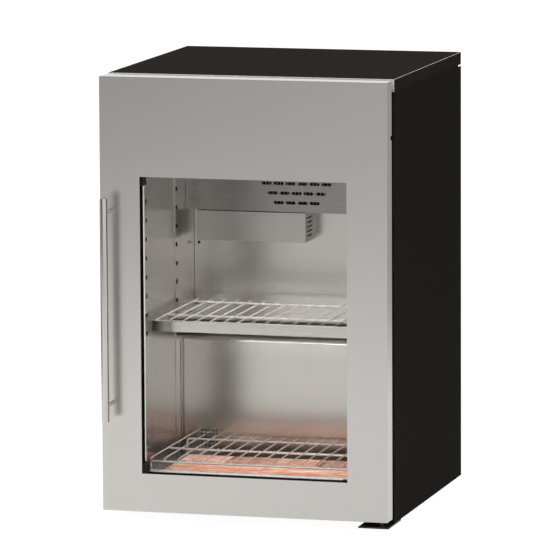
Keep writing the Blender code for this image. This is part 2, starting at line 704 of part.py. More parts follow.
def make_uprights(steel):
    """Makes the four slotted uprights that carry the runners."""
    rows = ((BODY_FRONT + FRONT_UPRIGHT_SETBACK, "front"), (LOWER_REAR - REAR_UPRIGHT_GAP, "rear"))
    for side, side_name in ((-1, "left"), (1, "right")):
        for centre_y, place_name in rows:
            y = about(centre_y, UPRIGHT_WIDTH)
            z = (CAVITY_FLOOR + UPRIGHT_END, CAVITY_TOP - UPRIGHT_END)
            x = mirrored(side, UPRIGHT_FACE, CAVITY_HALF - CLEARANCE)
            strip = block(f"upright_{place_name}_{side_name}", x, y, z, steel)
            cut_box(strip, mirrored(side, UPRIGHT_FACE + UPRIGHT_SHEET, CAVITY_HALF + OVERRUN),
                    grown(y, -UPRIGHT_SHEET), grown(z, OVERRUN))
            slots = bmesh.new()
            face = mirrored(side, UPRIGHT_FACE, UPRIGHT_FACE + UPRIGHT_SHEET)
            height = z[0] + FIRST_SLOT
            while height < z[1] - SLOT_HEIGHT:
                add_box(slots, grown(face, UPRIGHT_SHEET), about(centre_y, SLOT_WIDTH),
                        about(height, SLOT_HEIGHT))
                height += SLOT_PITCH
            subtract(strip, add_cutter(strip.name + "_slots", slots))


def make_runners(steel):
    """Makes the runners that hang on the uprights, with ledges that carry the shelf and reach the wall."""
    for side, name in ((-1, "runner_left"), (1, "runner_right")):
        outer = UPRIGHT_FACE - CLEARANCE
        wall = CAVITY_HALF - CLEARANCE
        y = (BODY_FRONT + FRONT_UPRIGHT_SETBACK - UPRIGHT_WIDTH / 2, UPPER_REAR - RUNNER_END)
        z = (LEDGE_Z - RUNNER_HEIGHT, LEDGE_Z)
        below = (z[0] - OVERRUN, z[1] - RUNNER_SHEET)
        runner = block(name, mirrored(side, outer - RUNNER_LEDGE, wall), y, z, steel)
        cut_box(runner, mirrored(side, outer - RUNNER_LEDGE - OVERRUN, outer - RUNNER_SHEET),
                grown(y, OVERRUN), below)
        cut_box(runner, mirrored(side, outer, wall + OVERRUN), grown(y, OVERRUN), below)
        for centre_y in (BODY_FRONT + FRONT_UPRIGHT_SETBACK, LOWER_REAR - REAR_UPRIGHT_GAP):
            cut_box(runner, mirrored(side, outer, wall + OVERRUN),
                    about(centre_y, UPRIGHT_WIDTH + 2 * CLEARANCE), grown(z, OVERRUN))


def rack_columns():
    """Lists the X of each depth wire of a rack."""
    pitch = (RACK_WIDTH - THIN_WIRE) / (RACK_WIRE_COUNT - 1)
    return [-(RACK_WIDTH - THIN_WIRE) / 2 + index * pitch for index in range(RACK_WIRE_COUNT)]


def cross_wires(places):
    """Adds the thick wires that run from side to side at (y, z) places."""
    shape = bmesh.new()
    reach = RACK_WIDTH / 2
    for y, z in places:
        add_rod(shape, (-reach, y, z), (reach, y, z), THICK_WIRE, WIRE_SIDES)
    return shape


def make_upper_shelf(steel, wire):
    """Makes the shelf's front channel and the wire rack behind it."""
    front = BODY_FRONT + FRONT_UPRIGHT_SETBACK - UPRIGHT_WIDTH / 2 - TRIM_GAP - TRIM_SHEET
    outer = UPRIGHT_FACE - CLEARANCE
    inner = outer - RUNNER_LEDGE - TRIM_GAP
    z = (LEDGE_Z - RUNNER_HEIGHT, SHELF_Z)
    reach = CAVITY_HALF - TRIM_GAP
    rear = front + TRIM_CHANNEL
    trim = block("shelf_trim", (-reach, reach), (front, rear + TRIM_LIP), z, steel)
    for side in (-1, 1):
        cut_box(trim, mirrored(side, inner, reach + OVERRUN),
                (front + TRIM_SHEET, rear + TRIM_LIP + OVERRUN), grown(z, OVERRUN))
    across = (-reach - OVERRUN, reach + OVERRUN)
    cut_box(trim, across, (front + TRIM_SHEET, rear - TRIM_SHEET), (z[0] + TRIM_SHEET, z[1] + OVERRUN))
    cut_box(trim, across, (rear, rear + TRIM_LIP + OVERRUN), (z[0] - OVERRUN, z[1] - TRIM_SHEET))

    wires = bmesh.new()
    depth = UPPER_REAR - UPPER_RACK_REAR_GAP - front
    for x in rack_columns():
        add_rod(wires, (x, front, THIN_Z), (x, front + depth, THIN_Z), THIN_WIRE, WIRE_SIDES)
    rack = add_object("upper_rack", wires, wire)
    places = [(front + share * depth, CROSS_Z) for share in UPPER_CROSS_SHARES]
    unite(rack, add_cutter("upper_cross_wires", cross_wires(places)))


def make_lower_rack(wire):
    """Makes the free-standing wire rack over the salt tray, with its four legs."""
    front = BODY_FRONT + LOWER_RACK_FRONT
    rear = LOWER_REAR - LOWER_RACK_REAR_GAP
    depth = rear - front
    top = CAVITY_FLOOR + LOWER_RACK_HEIGHT
    seat = (THIN_WIRE + THICK_WIRE) / 2 + CLEARANCE
    wires = bmesh.new()
    bend = front + LOWER_BEND_SHARE * depth
    for x in rack_columns():
        shaped_wire(wires, x, [(front, top - LOWER_BEND_DROP), (bend, top), (rear, top)])
    rack = add_object("lower_rack", wires, wire)
    middle = front + LOWER_CROSS_SHARES[0] * depth
    unite(rack, add_cutter("lower_cross_wire", cross_wires([(middle, top - CROSS_DROP)])))
    rear_frame = front + LOWER_CROSS_SHARES[1] * depth
    make_rack_frame("lower_rack_front_frame", front, top - LOWER_BEND_DROP - seat, wire)
    make_rack_frame("lower_rack_rear_frame", rear_frame, top - seat, wire)


def make_rack_frame(name, y, z, wire):
    """Makes a cross wire with a leg at each end, on which a free-standing rack lies."""
    frame = add_object(name, cross_wires([(y, z)]), wire)
    leg_x = RACK_WIDTH / 2 - LEG_INSET - THICK_WIRE / 2
    legs = bmesh.new()
    for x in (-leg_x, leg_x):
        add_rod(legs, (x, y, FLOOR_SEAT), (x, y, z), THICK_WIRE - WELD_SINK, WIRE_SIDES)
    unite(frame, add_cutter(name + "_legs", legs))


def shaped_wire(shape, x, places):
    """Adds one bent wire that follows (y, z) places at a fixed X."""
    across = Vector((1, 0, 0))
    rings = []
    for index, (y, z) in enumerate(places):
        here = Vector((x, y, z))
        before = Vector((x, *places[max(index - 1, 0)]))
        after = Vector((x, *places[min(index + 1, len(places) - 1)]))
        along = (after - before).normalized()
        up = across.cross(along)
        corners = []
        for step in range(WIRE_SIDES):
            angle = math.tau * step / WIRE_SIDES
            offset = across * math.cos(angle) + up * math.sin(angle)
            corners.append(shape.verts.new(here + offset * THIN_WIRE / 2))
        rings.append(corners)
    for lower, upper in zip(rings, rings[1:]):
        for step in range(WIRE_SIDES):
            follow = (step + 1) % WIRE_SIDES
            shape.faces.new((lower[step], lower[follow], upper[follow], upper[step]))
    shape.faces.new(rings[0][::-1])
    shape.faces.new(rings[-1])


def make_salt_bed(steel, salts):
    """Makes the tray and the salt bricks that lie in it."""
    inside_y = 2 * BRICK_WIDTH + 3 * BRICK_GAP
    y = (BODY_FRONT + TRAY_SETBACK, BODY_FRONT + TRAY_SETBACK + inside_y + 2 * TRAY_SHEET)
    x = (-TRAY_HALF, TRAY_HALF)
    z = (FLOOR_SEAT, FLOOR_SEAT + TRAY_HEIGHT)
    tray = block("salt_tray", x, y, z, steel)
    cut_box(tray, grown(x, -TRAY_SHEET), grown(y, -TRAY_SHEET), (z[0] + TRAY_SHEET, z[1] + OVERRUN))

    bottom = z[0] + TRAY_SHEET + CLEARANCE
    height = (bottom, bottom + BRICK_THICKNESS)
    number = 0
    rows = ((BRICK_LENGTH, BRICK_TONES[0]), ((BRICK_LENGTH - BRICK_GAP) / 2, BRICK_TONES[1]))
    for row, (length, tones) in enumerate(rows):
        start_y = y[0] + TRAY_SHEET + BRICK_GAP + row * (BRICK_WIDTH + BRICK_GAP)
        step = length + BRICK_GAP
        left = -(len(tones) * step - BRICK_GAP) / 2
        for column, tone in enumerate(tones):
            number += 1
            start_x = left + column * step
            block(f"salt_brick_{number}", (start_x, start_x + length), (start_y, start_y + BRICK_WIDTH),
                  height, salts[tone], BRICK_CHAMFER)


def make_machine(dark, metal, plastic, paint):
    """Makes the compressor, the condenser with its fan, the rear grille and the power inlet."""
    centre_y = (COMPARTMENT_FRONT + PANEL_INNER) / 2
    radius = COMPRESSOR_DIAMETER / 2
    lift = GROMMET_HEIGHT + COMPRESSOR_PLATE[2] / 2
    profile = [(across * radius, lift + up * radius) for across, up in COMPRESSOR_BOTTOM_SHARES]
    profile += [(across * radius, COMPRESSOR_HEIGHT - down * radius)
                for across, down in COMPRESSOR_TOP_SHARES]
    place = (COMPRESSOR_CENTRE, centre_y, BASE_SEAT)
    shell = turned("compressor", profile, place, (0, 0, 1), FINE_STEPS, dark)
    mount = bmesh.new()
    plate = COMPRESSOR_PLATE
    middle = BASE_SEAT + GROMMET_HEIGHT
    add_box(mount, about(COMPRESSOR_CENTRE, plate[0]), about(centre_y, plate[1]),
            (middle, middle + plate[2]))
    unite(shell, add_cutter("compressor_plate", mount))
    feet = bmesh.new()
    for x in about(COMPRESSOR_CENTRE, plate[0] - 2 * GROMMET_INSET):
        for y in about(centre_y, plate[1] - 2 * GROMMET_INSET):
            add_rod(feet, (x, y, BASE_SEAT), (x, y, middle + plate[2] / 2), GROMMET_DIAMETER, COARSE_STEPS)
    unite(shell, add_cutter("compressor_grommets", feet))

    coil_left = -HALF_WIDTH + CASING_SHEET + CONDENSER_FROM_SIDE
    coil_x = (coil_left, coil_left + CONDENSER_THICKNESS)
    coil_z = (BASE_SEAT, BASE_SEAT + CONDENSER_HEIGHT)
    coil_y = about(centre_y, CONDENSER_WIDTH)
    make_coil("condenser_coil", {"X": coil_x, "Y": coil_y, "Z": coil_z}, "Y", CONDENSER_FIN_COUNT,
              CONDENSER_COLUMN_COUNT, CONDENSER_ROW_COUNT, metal)
    make_condenser_fan(coil_x[1] + CLEARANCE, centre_y, coil_z, plastic, dark)
    make_grille(paint, plastic)


def make_condenser_fan(left, centre_y, coil_z, plastic, dark):
    """Makes the shroud with its motor spider, and the fan that blows through the condenser."""
    fan_z = (coil_z[0] + coil_z[1]) / 2
    x = (left, left + SHROUD_DEPTH)
    y = about(centre_y, CONDENSER_WIDTH)
    shroud = block("fan_shroud", x, y, coil_z, dark)
    cut_box(shroud, (x[0] - OVERRUN, x[1] - SHROUD_SHEET), grown(y, -SHROUD_SHEET),
            grown(coil_z, -SHROUD_SHEET))
    cut_rod(shroud, (x[0] - OVERRUN, centre_y, fan_z), (x[1] + OVERRUN, centre_y, fan_z), SHROUD_HOLE)
    spider = bmesh.new()
    boss_front = x[1] - SHROUD_SHEET - MOTOR_BOSS_DEPTH
    add_box(spider, (x[1] - 2 * SHROUD_SHEET, x[1]), about(centre_y, CONDENSER_WIDTH - SHROUD_SHEET),
            about(fan_z, SPIDER_ARM))
    unite(shroud, add_cutter("spider_arm", spider))
    boss = bmesh.new()
    add_rod(boss, (boss_front, centre_y, fan_z), (x[1], centre_y, fan_z), FAN_HUB, FINE_STEPS)
    unite(shroud, add_cutter("motor_boss", boss))

    hub_back = boss_front - CLEARANCE
    hub_front = hub_back - FAN_HUB_DEPTH
    shape = bmesh.new()
    add_rod(shape, (hub_front, centre_y, fan_z), (hub_back, centre_y, fan_z), FAN_HUB, FINE_STEPS)
    rotor = add_object("condenser_rotor", shape, plastic)
    smooth(rotor)
    blades = bmesh.new()
    inner = FAN_HUB / 2 - FAN_BLADE_SHEET
    for step in range(FAN_BLADE_COUNT):
        corners = add_box(blades, about(0, FAN_BLADE_SHEET), about(0, FAN_BLADE_CHORD / 2),
                          (inner, FAN_DIAMETER / 2))
        tips = [corner for corner in corners if corner.co.z > inner]
        for corner in tips:
            corner.co.y *= FAN_BLADE_CHORD / (FAN_BLADE_CHORD / 2)
        twist = Matrix.Rotation(FAN_BLADE_PITCH, 4, "Z")
        turn = Matrix.Rotation(math.tau * step / FAN_BLADE_COUNT, 4, "X")
        place = Matrix.Translation(((hub_front + hub_back) / 2, centre_y, fan_z))
        bmesh.ops.transform(blades, matrix=place @ turn @ twist, verts=corners)
    unite(rotor, add_cutter("fan_blades", blades))


def make_grille(paint, plastic):
    """Makes the slotted rear cover of the machine compartment and the inlet in it."""
    z = (BASE_Z + BASE_SHEET + CLEARANCE, COMPARTMENT_TOP - CLEARANCE)
    y = (PANEL_REAR - CASING_SHEET, PANEL_REAR)
    grille = block("machine_grille", (-INNER_HALF, INNER_HALF), y, z, paint)
    slots = bmesh.new()
    slotted = grown((-INNER_HALF, INNER_HALF), -GRILLE_MARGIN)
    length = (slotted[1] - slotted[0]) / GRILLE_COLUMN_COUNT - GRILLE_BRIDGE
    for x in evenly(slotted, GRILLE_COLUMN_COUNT):
        for row in range(GRILLE_ROW_COUNT):
            height = z[1] - GRILLE_MARGIN - row * GRILLE_ROW_PITCH
            add_box(slots, about(x, length), grown(y, OVERRUN), about(height, GRILLE_SLOT_HEIGHT))
    subtract(grille, add_cutter("grille_slots", slots))
    inlet_x = -HALF_WIDTH + INLET_FROM_SIDE
    inlet_z = z[0] + INLET_HEIGHT
    across = about(inlet_x, INLET_SIZE[0])
    upward = about(inlet_z, INLET_SIZE[1])
    cut_box(grille, grown(across, CLEARANCE), grown(y, OVERRUN), grown(upward, CLEARANCE))
    through = (PANEL_REAR - INLET_DEPTH, PANEL_REAR + INLET_PROUD)
    inlet = block("power_inlet", across, through, upward, plastic)
    cut_box(inlet, about(inlet_x, INLET_POCKET[0]),
            (PANEL_REAR + INLET_PROUD - INLET_POCKET_DEPTH, PANEL_REAR + INLET_PROUD + OVERRUN),
            about(inlet_z, INLET_POCKET[1]))


def make_controls(paint, glassy, plastic):
    """Makes the fascia behind the door's upper part, with its display, buttons and switch."""
    z = (FASCIA_Z, CASING_TOP)
    y = (BODY_FRONT, FRAME_BACK)
    middle = (z[0] + z[1]) / 2
    fascia = block("control_fascia", (-INNER_HALF, INNER_HALF), y, z, paint)
    across = about(0, DISPLAY_SIZE[0])
    upward = about(middle, DISPLAY_SIZE[1])
    cut_box(fascia, grown(across, CLEARANCE), grown(y, OVERRUN), grown(upward, CLEARANCE))
    block("display_window", across, (BODY_FRONT - DISPLAY_PROUD, FRAME_BACK), upward, glassy)
    for index, name in enumerate(("button_up", "button_down")):
        x = BUTTON_OFFSET + index * BUTTON_PITCH
        cut_rod(fascia, (x, y[0] - OVERRUN, middle), (x, y[1] + OVERRUN, middle),
                BUTTON_DIAMETER + 2 * CLEARANCE, FINE_STEPS)
        shape = bmesh.new()
        add_rod(shape, (x, BODY_FRONT - BUTTON_PROUD, middle), (x, FRAME_BACK + BUTTON_BACK, middle),
                BUTTON_DIAMETER, FINE_STEPS)
        smooth(add_object(name, shape, plastic))
    width = about(SWITCH_OFFSET, SWITCH_SIZE[0])
    tall = about(middle, SWITCH_SIZE[1])
    cut_box(fascia, grown(width, CLEARANCE), grown(y, OVERRUN), grown(tall, SWITCH_PLAY))
    block("power_switch", width, (BODY_FRONT - SWITCH_PROUD, FRAME_BACK + SWITCH_BACK), tall, plastic,
          CLEARANCE)


def make_door(steel, insulation, glass, rubber, dark):
    """Makes the hinged door: skin, foam, inner panel, glazing and magnetic gasket."""
    window = ((-WINDOW_HALF, WINDOW_HALF), (WINDOW_LOW, WINDOW_HIGH))
    z = (DOOR_BOTTOM, DOOR_TOP)
    x = (-HALF_WIDTH, HALF_WIDTH)
    y = (DOOR_FRONT, DOOR_BACK)
    skin = block("door_skin", x, (y[0], y[1] + OVERRUN), z, steel)
    add_bevel(skin, DOOR_BEVEL, 2)
    cut_box(skin, grown(x, OVERRUN), (y[1], y[1] + 2 * OVERRUN), grown(z, OVERRUN))
    cut_box(skin, grown(x, -DOOR_SHEET), (y[0] + DOOR_SHEET, y[1] + OVERRUN), grown(z, -DOOR_SHEET))
    cut_box(skin, window[0], grown(y, OVERRUN), window[1])

    inside = DOOR_SHEET + CLEARANCE
    inner_x = grown(x, -inside)
    inner_z = grown(z, -inside)
    panel_y = (DOOR_BACK - DOOR_SHEET, DOOR_BACK)
    clear = [grown(span, GLAZING_EDGE + CLEARANCE) for span in window]
    panel = ring("door_inner_panel", (inner_x, inner_z), clear, panel_y, steel)
    foam = ring("door_foam", (inner_x, inner_z), clear,
                (DOOR_FRONT + inside, panel_y[0] - CLEARANCE), insulation)

    pane = [grown(span, PANE_EDGE) for span in window]
    middle_front = GLASS_FRONT + PANE_THICKNESS
    block("glass_outer", pane[0], (GLASS_FRONT, middle_front), pane[1], glass)
    block("glass_inner", pane[0], (GLASS_REAR - PANE_THICKNESS, GLASS_REAR), pane[1], glass)
    ring("glass_spacer", pane, window,
         (middle_front + CLEARANCE, middle_front + PANE_GAP - CLEARANCE), dark)
    ring("glazing_bead", pane, [grown(span, BEAD_INSET) for span in window],
         (GLASS_REAR + CLEARANCE, DOOR_BACK), steel)

    across = grown((-CAVITY_HALF, CAVITY_HALF), GASKET_MARGIN + GASKET_WIDTH)
    upward = grown((CAVITY_FLOOR, CAVITY_TOP), GASKET_MARGIN + GASKET_WIDTH)
    ring("door_gasket", (across, upward), [grown(span, -GASKET_WIDTH) for span in (across, upward)],
         (DOOR_BACK + CLEARANCE, BODY_FRONT - CLEARANCE), rubber)
    return skin, panel, foam


def make_handle(steel):
    """Makes the bar handle and its two standoffs."""
    x = -HALF_WIDTH + HANDLE_FROM_EDGE
    y = DOOR_FRONT - HANDLE_STANDOFF
    low = DOOR_BOTTOM + HANDLE_SILL
    shape = bmesh.new()
    add_rod(shape, (x, y, low), (x, y, low + HANDLE_LENGTH), HANDLE_DIAMETER, FINE_STEPS)
    handle = add_object("handle", shape, steel)
    add_bevel(handle, HANDLE_BEVEL)
    smooth(handle)
    posts = bmesh.new()
    seat = y + HANDLE_DIAMETER / 2 - STANDOFF_SINK
    for z in (low + STANDOFF_INSET, low + HANDLE_LENGTH - STANDOFF_INSET):
        add_rod(posts, (x, seat, z), (x, DOOR_FRONT - CLEARANCE, z), STANDOFF_DIAMETER, FINE_STEPS)
    unite(handle, add_cutter("handle_standoffs", posts))


def make_hinges(door_pieces, dark, steel, plastic):
    """Makes both hinge plates with their pins, and the bushes that turn on them."""
    skin, panel, foam = door_pieces
    plate_y = (DOOR_FRONT + PLATE_SETBACK, DOOR_FRONT + PLATE_SETBACK + PLATE_LENGTH)
    plate = block("hinge_plate_lower", (HALF_WIDTH - PLATE_WIDTH, HALF_WIDTH), plate_y,
                  (PLATE_TOP - PLATE_THICKNESS, PLATE_TOP), dark)
    pin = bmesh.new()
    add_rod(pin, (HINGE_X, HINGE_Y, PLATE_TOP - PLATE_THICKNESS / 2),
            (HINGE_X, HINGE_Y, DOOR_BOTTOM + PIN_ENGAGEMENT), PIN_DIAMETER, FINE_STEPS)
    unite(plate, add_cutter("lower_pin", pin))
    flange_low = DOOR_BOTTOM - CLEARANCE - BUSH_FLANGE_THICKNESS
    make_bush("hinge_bush_lower", flange_low, BUSH_FLANGE_THICKNESS, plastic)
    bore = BUSH_DIAMETER + 2 * CLEARANCE
    bush_top = DOOR_BOTTOM + BUSH_LENGTH + CLEARANCE
    for piece in (skin, foam):
        cut_rod(piece, (HINGE_X, HINGE_Y, DOOR_BOTTOM - OVERRUN), (HINGE_X, HINGE_Y, bush_top), bore)

    pocket_z = (ARM_POCKET_Z, ARM_POCKET_Z + ARM_POCKET_HEIGHT)
    for piece in (skin, panel, foam):
        subtract(piece, add_cutter(piece.name + "_arm_pocket", prism(arm_pocket_outline(), pocket_z)))
    bush_high = pocket_z[1] + BUSH_LENGTH + 2 * CLEARANCE
    cut_rod(foam, (HINGE_X, HINGE_Y, ARM_POCKET_Z), (HINGE_X, HINGE_Y, bush_high), bore)
    make_bush("hinge_bush_upper", pocket_z[1] + CLEARANCE, 0, plastic)

    flange_y = (BODY_FRONT - CLEARANCE - PLATE_THICKNESS, BODY_FRONT - CLEARANCE)
    bracket = block("hinge_plate_upper", about(HINGE_X - ARM_SPREAD, BRACKET_WIDTH), flange_y,
                    about(ARM_Z + ARM_THICKNESS / 2, BRACKET_HEIGHT), steel)
    unite(bracket, add_cutter("hinge_arm", prism(arm_outline(flange_y[1]), (ARM_Z, ARM_Z + ARM_THICKNESS))))
    head = bmesh.new()
    add_rod(head, (HINGE_X, HINGE_Y, ARM_Z), (HINGE_X, HINGE_Y, ARM_Z + ARM_THICKNESS),
            ARM_WIDTH + CLEARANCE, FINE_STEPS)
    unite(bracket, add_cutter("hinge_eye", head))
    stub = bmesh.new()
    add_rod(stub, (HINGE_X, HINGE_Y, ARM_Z + ARM_THICKNESS / 2),
            (HINGE_X, HINGE_Y, pocket_z[1] + PIN_ENGAGEMENT), PIN_DIAMETER - 2 * CLEARANCE, FINE_STEPS)
    unite(bracket, add_cutter("upper_pin", stub))


def arm_outline(reach_y):
    """Lists the corners of the slanted arm from the hinge axis back towards the cabinet."""
    along = Vector((-ARM_SPREAD, reach_y - HINGE_Y)).normalized()
    aside = Vector((along.y, -along.x)) * ARM_WIDTH / 2
    axis = Vector((HINGE_X, HINGE_Y))
    end = axis + along * (reach_y - PLATE_THICKNESS / 2 - HINGE_Y - aside.y) / along.y
    return [axis - aside, axis + aside, end + aside, end - aside]


def arm_pocket_outline():
    """Lists the corners of the pocket that clears the arm from the shut to the fully open door."""
    depth = DOOR_BACK - HINGE_Y
    edge = HALF_WIDTH - HINGE_X
    shut = math.atan2(BODY_FRONT - HINGE_Y, -ARM_SPREAD)
    opened = shut - DOOR_SWING
    half = ARM_WIDTH / 2
    room = half + ARM_POCKET_PLAY
    left = depth / math.tan(shut) - half / math.sin(shut) - ARM_POCKET_PLAY
    notch = edge * math.tan(opened) - half / math.cos(opened) - ARM_POCKET_PLAY / 2
    rear = depth + OVERRUN
    points = [(-room - ARM_POCKET_PLAY, -room), (room, -room), (edge, notch), (edge + OVERRUN, notch),
              (edge + OVERRUN, rear), (left - OVERRUN, rear), (left - ARM_POCKET_PLAY / 2, depth)]
    return [(HINGE_X + x, HINGE_Y + y) for x, y in points]


def make_bush(name, low, flange, plastic):
    """Makes a bush about the hinge axis, with a flange below it if a thickness is given."""
    radius = BUSH_DIAMETER / 2
    bore = PIN_DIAMETER / 2 + CLEARANCE
    height = flange + BUSH_LENGTH
    if flange:
        profile = [(bore, 0), (BUSH_FLANGE / 2, 0), (BUSH_FLANGE / 2, flange), (radius, flange),
                   (radius, height), (bore, height), (bore, 0)]
    else:
        profile = [(bore, 0), (radius, 0), (radius, height), (bore, height), (bore, 0)]
    turned(name, profile, (HINGE_X, HINGE_Y, low), (0, 0, 1), FINE_STEPS, plastic)


def foot_places():
    """Lists the X and Y of the four feet."""
    reach = HALF_WIDTH - FOOT_FROM_SIDE
    return [(x, y) for y in (BODY_FRONT + FOOT_FROM_FRONT, PANEL_REAR - FOOT_FROM_REAR + REAR_RECESS)
            for x in (-reach, reach)]


def make_feet(plastic):
    """Makes the four levelling feet with their studs."""
    radius = FOOT_DIAMETER / 2
    neck = FOOT_NECK / 2
    stud = STUD_DIAMETER / 2
    chamfer = FOOT_TAPER / 3
    profile = [(0, 0), (radius - chamfer, 0), (radius, chamfer), (radius - FOOT_TAPER, FOOT_PAD),
               (neck, FOOT_PAD), (neck, FOOT_HEIGHT - CLEARANCE), (stud, FOOT_HEIGHT - CLEARANCE),
               (stud, FOOT_HEIGHT + STUD_LENGTH), (0, FOOT_HEIGHT + STUD_LENGTH)]
    names = ("foot_front_left", "foot_front_right", "foot_rear_left", "foot_rear_right")
    for name, (x, y) in zip(names, foot_places()):
        turned(name, profile, (x, y, 0), (0, 0, 1), COARSE_STEPS, plastic)


def main():
    """Builds the whole cabinet."""
    clear_scene()
    paint = finish("black_paint", (0.016, 0.015, 0.014), 0.45)
    steel = finish("brushed_steel", (0.60, 0.58, 0.55), 0.32, 1.0)
    wire = finish("bright_wire", (0.72, 0.71, 0.69), 0.22, 1.0)
    insulation = finish("insulation", (0.72, 0.62, 0.38), 0.9)
    glass = finish("clear_glass", (0.90, 0.94, 0.93), 0.05)
    rubber = finish("black_rubber", (0.02, 0.02, 0.02), 0.6)
    dark = finish("black_plastic", (0.03, 0.03, 0.03), 0.5)
    grey = finish("grey_plastic", (0.35, 0.35, 0.34), 0.5)
    metal = finish("coil_aluminium", (0.70, 0.70, 0.70), 0.4, 1.0)
    salts = {"orange": finish("salt_orange", (0.80, 0.33, 0.20), 0.45),
             "pale": finish("salt_pale", (0.83, 0.50, 0.36), 0.45),
             "tan": finish("salt_tan", (0.72, 0.36, 0.20), 0.45),
             "red": finish("salt_red", (0.52, 0.20, 0.14), 0.45)}
    make_casing(paint, steel, insulation)
    make_liner(steel)
    make_air_panel(steel)
    make_fan_cover(steel)
    make_circulation_fan(grey, dark)
    make_evaporator(metal)
    make_uprights(steel)
    make_runners(steel)
    make_upper_shelf(steel, wire)
    make_lower_rack(wire)
    make_salt_bed(steel, salts)
    make_machine(dark, metal, grey, paint)
    make_controls(paint, dark, grey)
    pieces = make_door(steel, insulation, glass, rubber, dark)
    make_handle(steel)
    make_hinges(pieces, dark, steel, grey)
    make_feet(dark)


if __name__ == "__main__":
    main()
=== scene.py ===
"""Dry aging cabinet: finely made pieces, finishes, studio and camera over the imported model.

The front faces -Y, the hinge side is +X and the feet stand on Z = 0. All sizes are in metres.
"""
import json
import math
from functools import partial

import bmesh
import bpy
from bpy.props import FloatProperty, FloatVectorProperty, IntProperty, PointerProperty
from bpy.types import Operator, Panel, PropertyGroup
from mathutils import Matrix, Vector, noise


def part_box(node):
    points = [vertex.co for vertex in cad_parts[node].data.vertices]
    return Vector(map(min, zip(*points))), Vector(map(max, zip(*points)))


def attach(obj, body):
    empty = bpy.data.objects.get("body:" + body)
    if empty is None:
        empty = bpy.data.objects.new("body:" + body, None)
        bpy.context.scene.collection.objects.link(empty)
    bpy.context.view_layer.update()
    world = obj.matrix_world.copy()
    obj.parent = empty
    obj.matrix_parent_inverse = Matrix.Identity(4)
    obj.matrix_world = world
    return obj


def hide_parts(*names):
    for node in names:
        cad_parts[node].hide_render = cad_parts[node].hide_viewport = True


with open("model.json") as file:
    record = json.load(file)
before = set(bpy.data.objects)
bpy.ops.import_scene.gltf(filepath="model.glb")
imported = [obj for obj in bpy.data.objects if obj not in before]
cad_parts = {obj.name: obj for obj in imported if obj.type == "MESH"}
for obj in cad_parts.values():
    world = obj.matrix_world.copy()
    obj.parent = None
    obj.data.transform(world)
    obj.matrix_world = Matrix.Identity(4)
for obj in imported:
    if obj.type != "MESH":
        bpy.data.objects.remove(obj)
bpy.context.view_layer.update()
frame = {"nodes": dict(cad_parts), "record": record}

bl_info = {
    "name": "Dry Aging Cabinet",
    "version": (1, 0, 0),
    "blender": (4, 5, 0),
    "location": "View3D > Sidebar > Aging Cabinet",
    "description": "Dresses the packed dry aging cabinet with finely made pieces, finishes and a studio",
    "category": "Object",
}

BODY_OF = {node: body for body, nodes in frame["record"]["behaviour"]["bodies"].items() for node in nodes}
SLOT_OF = {part["node"]: part["material_slot"] for part in frame["record"]["subparts"]}
FINISH = "fine_"
DARK_BACK = {"body": "cabinet", "slot": "black_plastic"}
STEEL_EXTRA = {"body": "cabinet", "slot": "brushed_steel"}
CORNERS = ("front_left", "front_right", "rear_left", "rear_right")
ALONG = {"X": (6.0, 900.0, 900.0), "Y": (900.0, 6.0, 900.0), "Z": (900.0, 900.0, 6.0)}

# Sizes that follow the solids
PANE_EDGE = 0.008
DOOR_SHEET = 0.001
LINER_SHEET = 0.001
STEP_BEND = 0.015
THIN_WIRE = 0.003
THICK_WIRE = 0.005
RACK_WIRES = 16
UPPER_CROSS_SHARES = (0.026, 0.308, 0.925)
LOWER_CROSS_SHARES = (0.47,)
HANDLE_DIAMETER = 0.016
STANDOFF_DIAMETER = 0.008
STANDOFF_INSET = 0.0316
HINGE_BORE = 0.0126
LOWER_REAR = 0.0785
STEP_TOP = 0.3363
POCKET_LEVEL = (0.794, 0.8035)
NOTCH_FRONT = -0.2555
VENT_SIZE = (0.0217, 0.0066)
VENT_PITCH = (0.0259, 0.0201)
VENT_ROWS = (4, 5, 6)
VENT_FROM_BOTTOM = 0.020
UPRIGHT_SLOT = (0.0135, 0.0088)
UPRIGHT_PITCH = 0.039
FIRST_SLOT = 0.027
LOWEST_SLOT = 0.360
LOUVRE_SIZE = (0.040, 0.0034)
LOUVRE_PITCH = 0.0095
LOUVRE_COUNT = 5

# Sizes of the fine work
DOOR_CORNER = 0.0016
DOOR_SEAM = (0.0007, 0.00035)
DOOR_SEAM_INSET = 0.0032
LEAST_CORNER = 0.0004
BEAD_LIP = 0.0033
# Diameter of the wires of the lid's painted edge highlight
LID_HIGHLIGHT_WIRE = 0.0011
# Rounding of the dark strips, most of them painted shade
SHADE_STRIP_EDGE = 0.0001
SEAM = 0.0006
SEAM_SINK = 0.0001
FRONT_SLOT_SHARE = 0.7
GUARD_PLACE = (0.062, 0.048)
GUARD_PITCH = 0.008
GUARD_HOLE = 0.0037
GUARD_ROWS = (3, 5, 5, 5, 5)
CAP_ACROSS = -0.2313
CAP_LEVELS = (0.5143, 0.3650)
CAP_PROFILE = ((0, -0.0005), (0.0032, -0.0005), (0.0032, 0.0006), (0.0025, 0.0012), (0, 0.0015))
SCREW_ACROSS = (-0.15, 0.0, 0.15)
RACK_DROP = 0.002
RACK_DROP_SHARE = 0.09
RACK_DROP_BEND = 0.02
BRICK_FACE = 0.006
SHARP_ANGLE = math.radians(32)
COIL_TUBE = 0.008
COIL_COLUMNS = (0.25, 0.75)
PIPE_BEND = 0.018
BUTTON_MARK = ((0, 0.0026), (-0.0026, -0.0018), (0.0026, -0.0018))
ROCKER_DIP = 0.00126
FOOT_THREAD = 0.00125
FOOT_GRIPS = 12
CORNER_KEYS = (("top_left", (0.0, 0.0068), (-0.0195, 0.0)), ("low_left", (0.0, 0.0100), (0.0, 0.0225)),
               ("low_right", (-0.0145, 0.0), (0.0, 0.0028)))
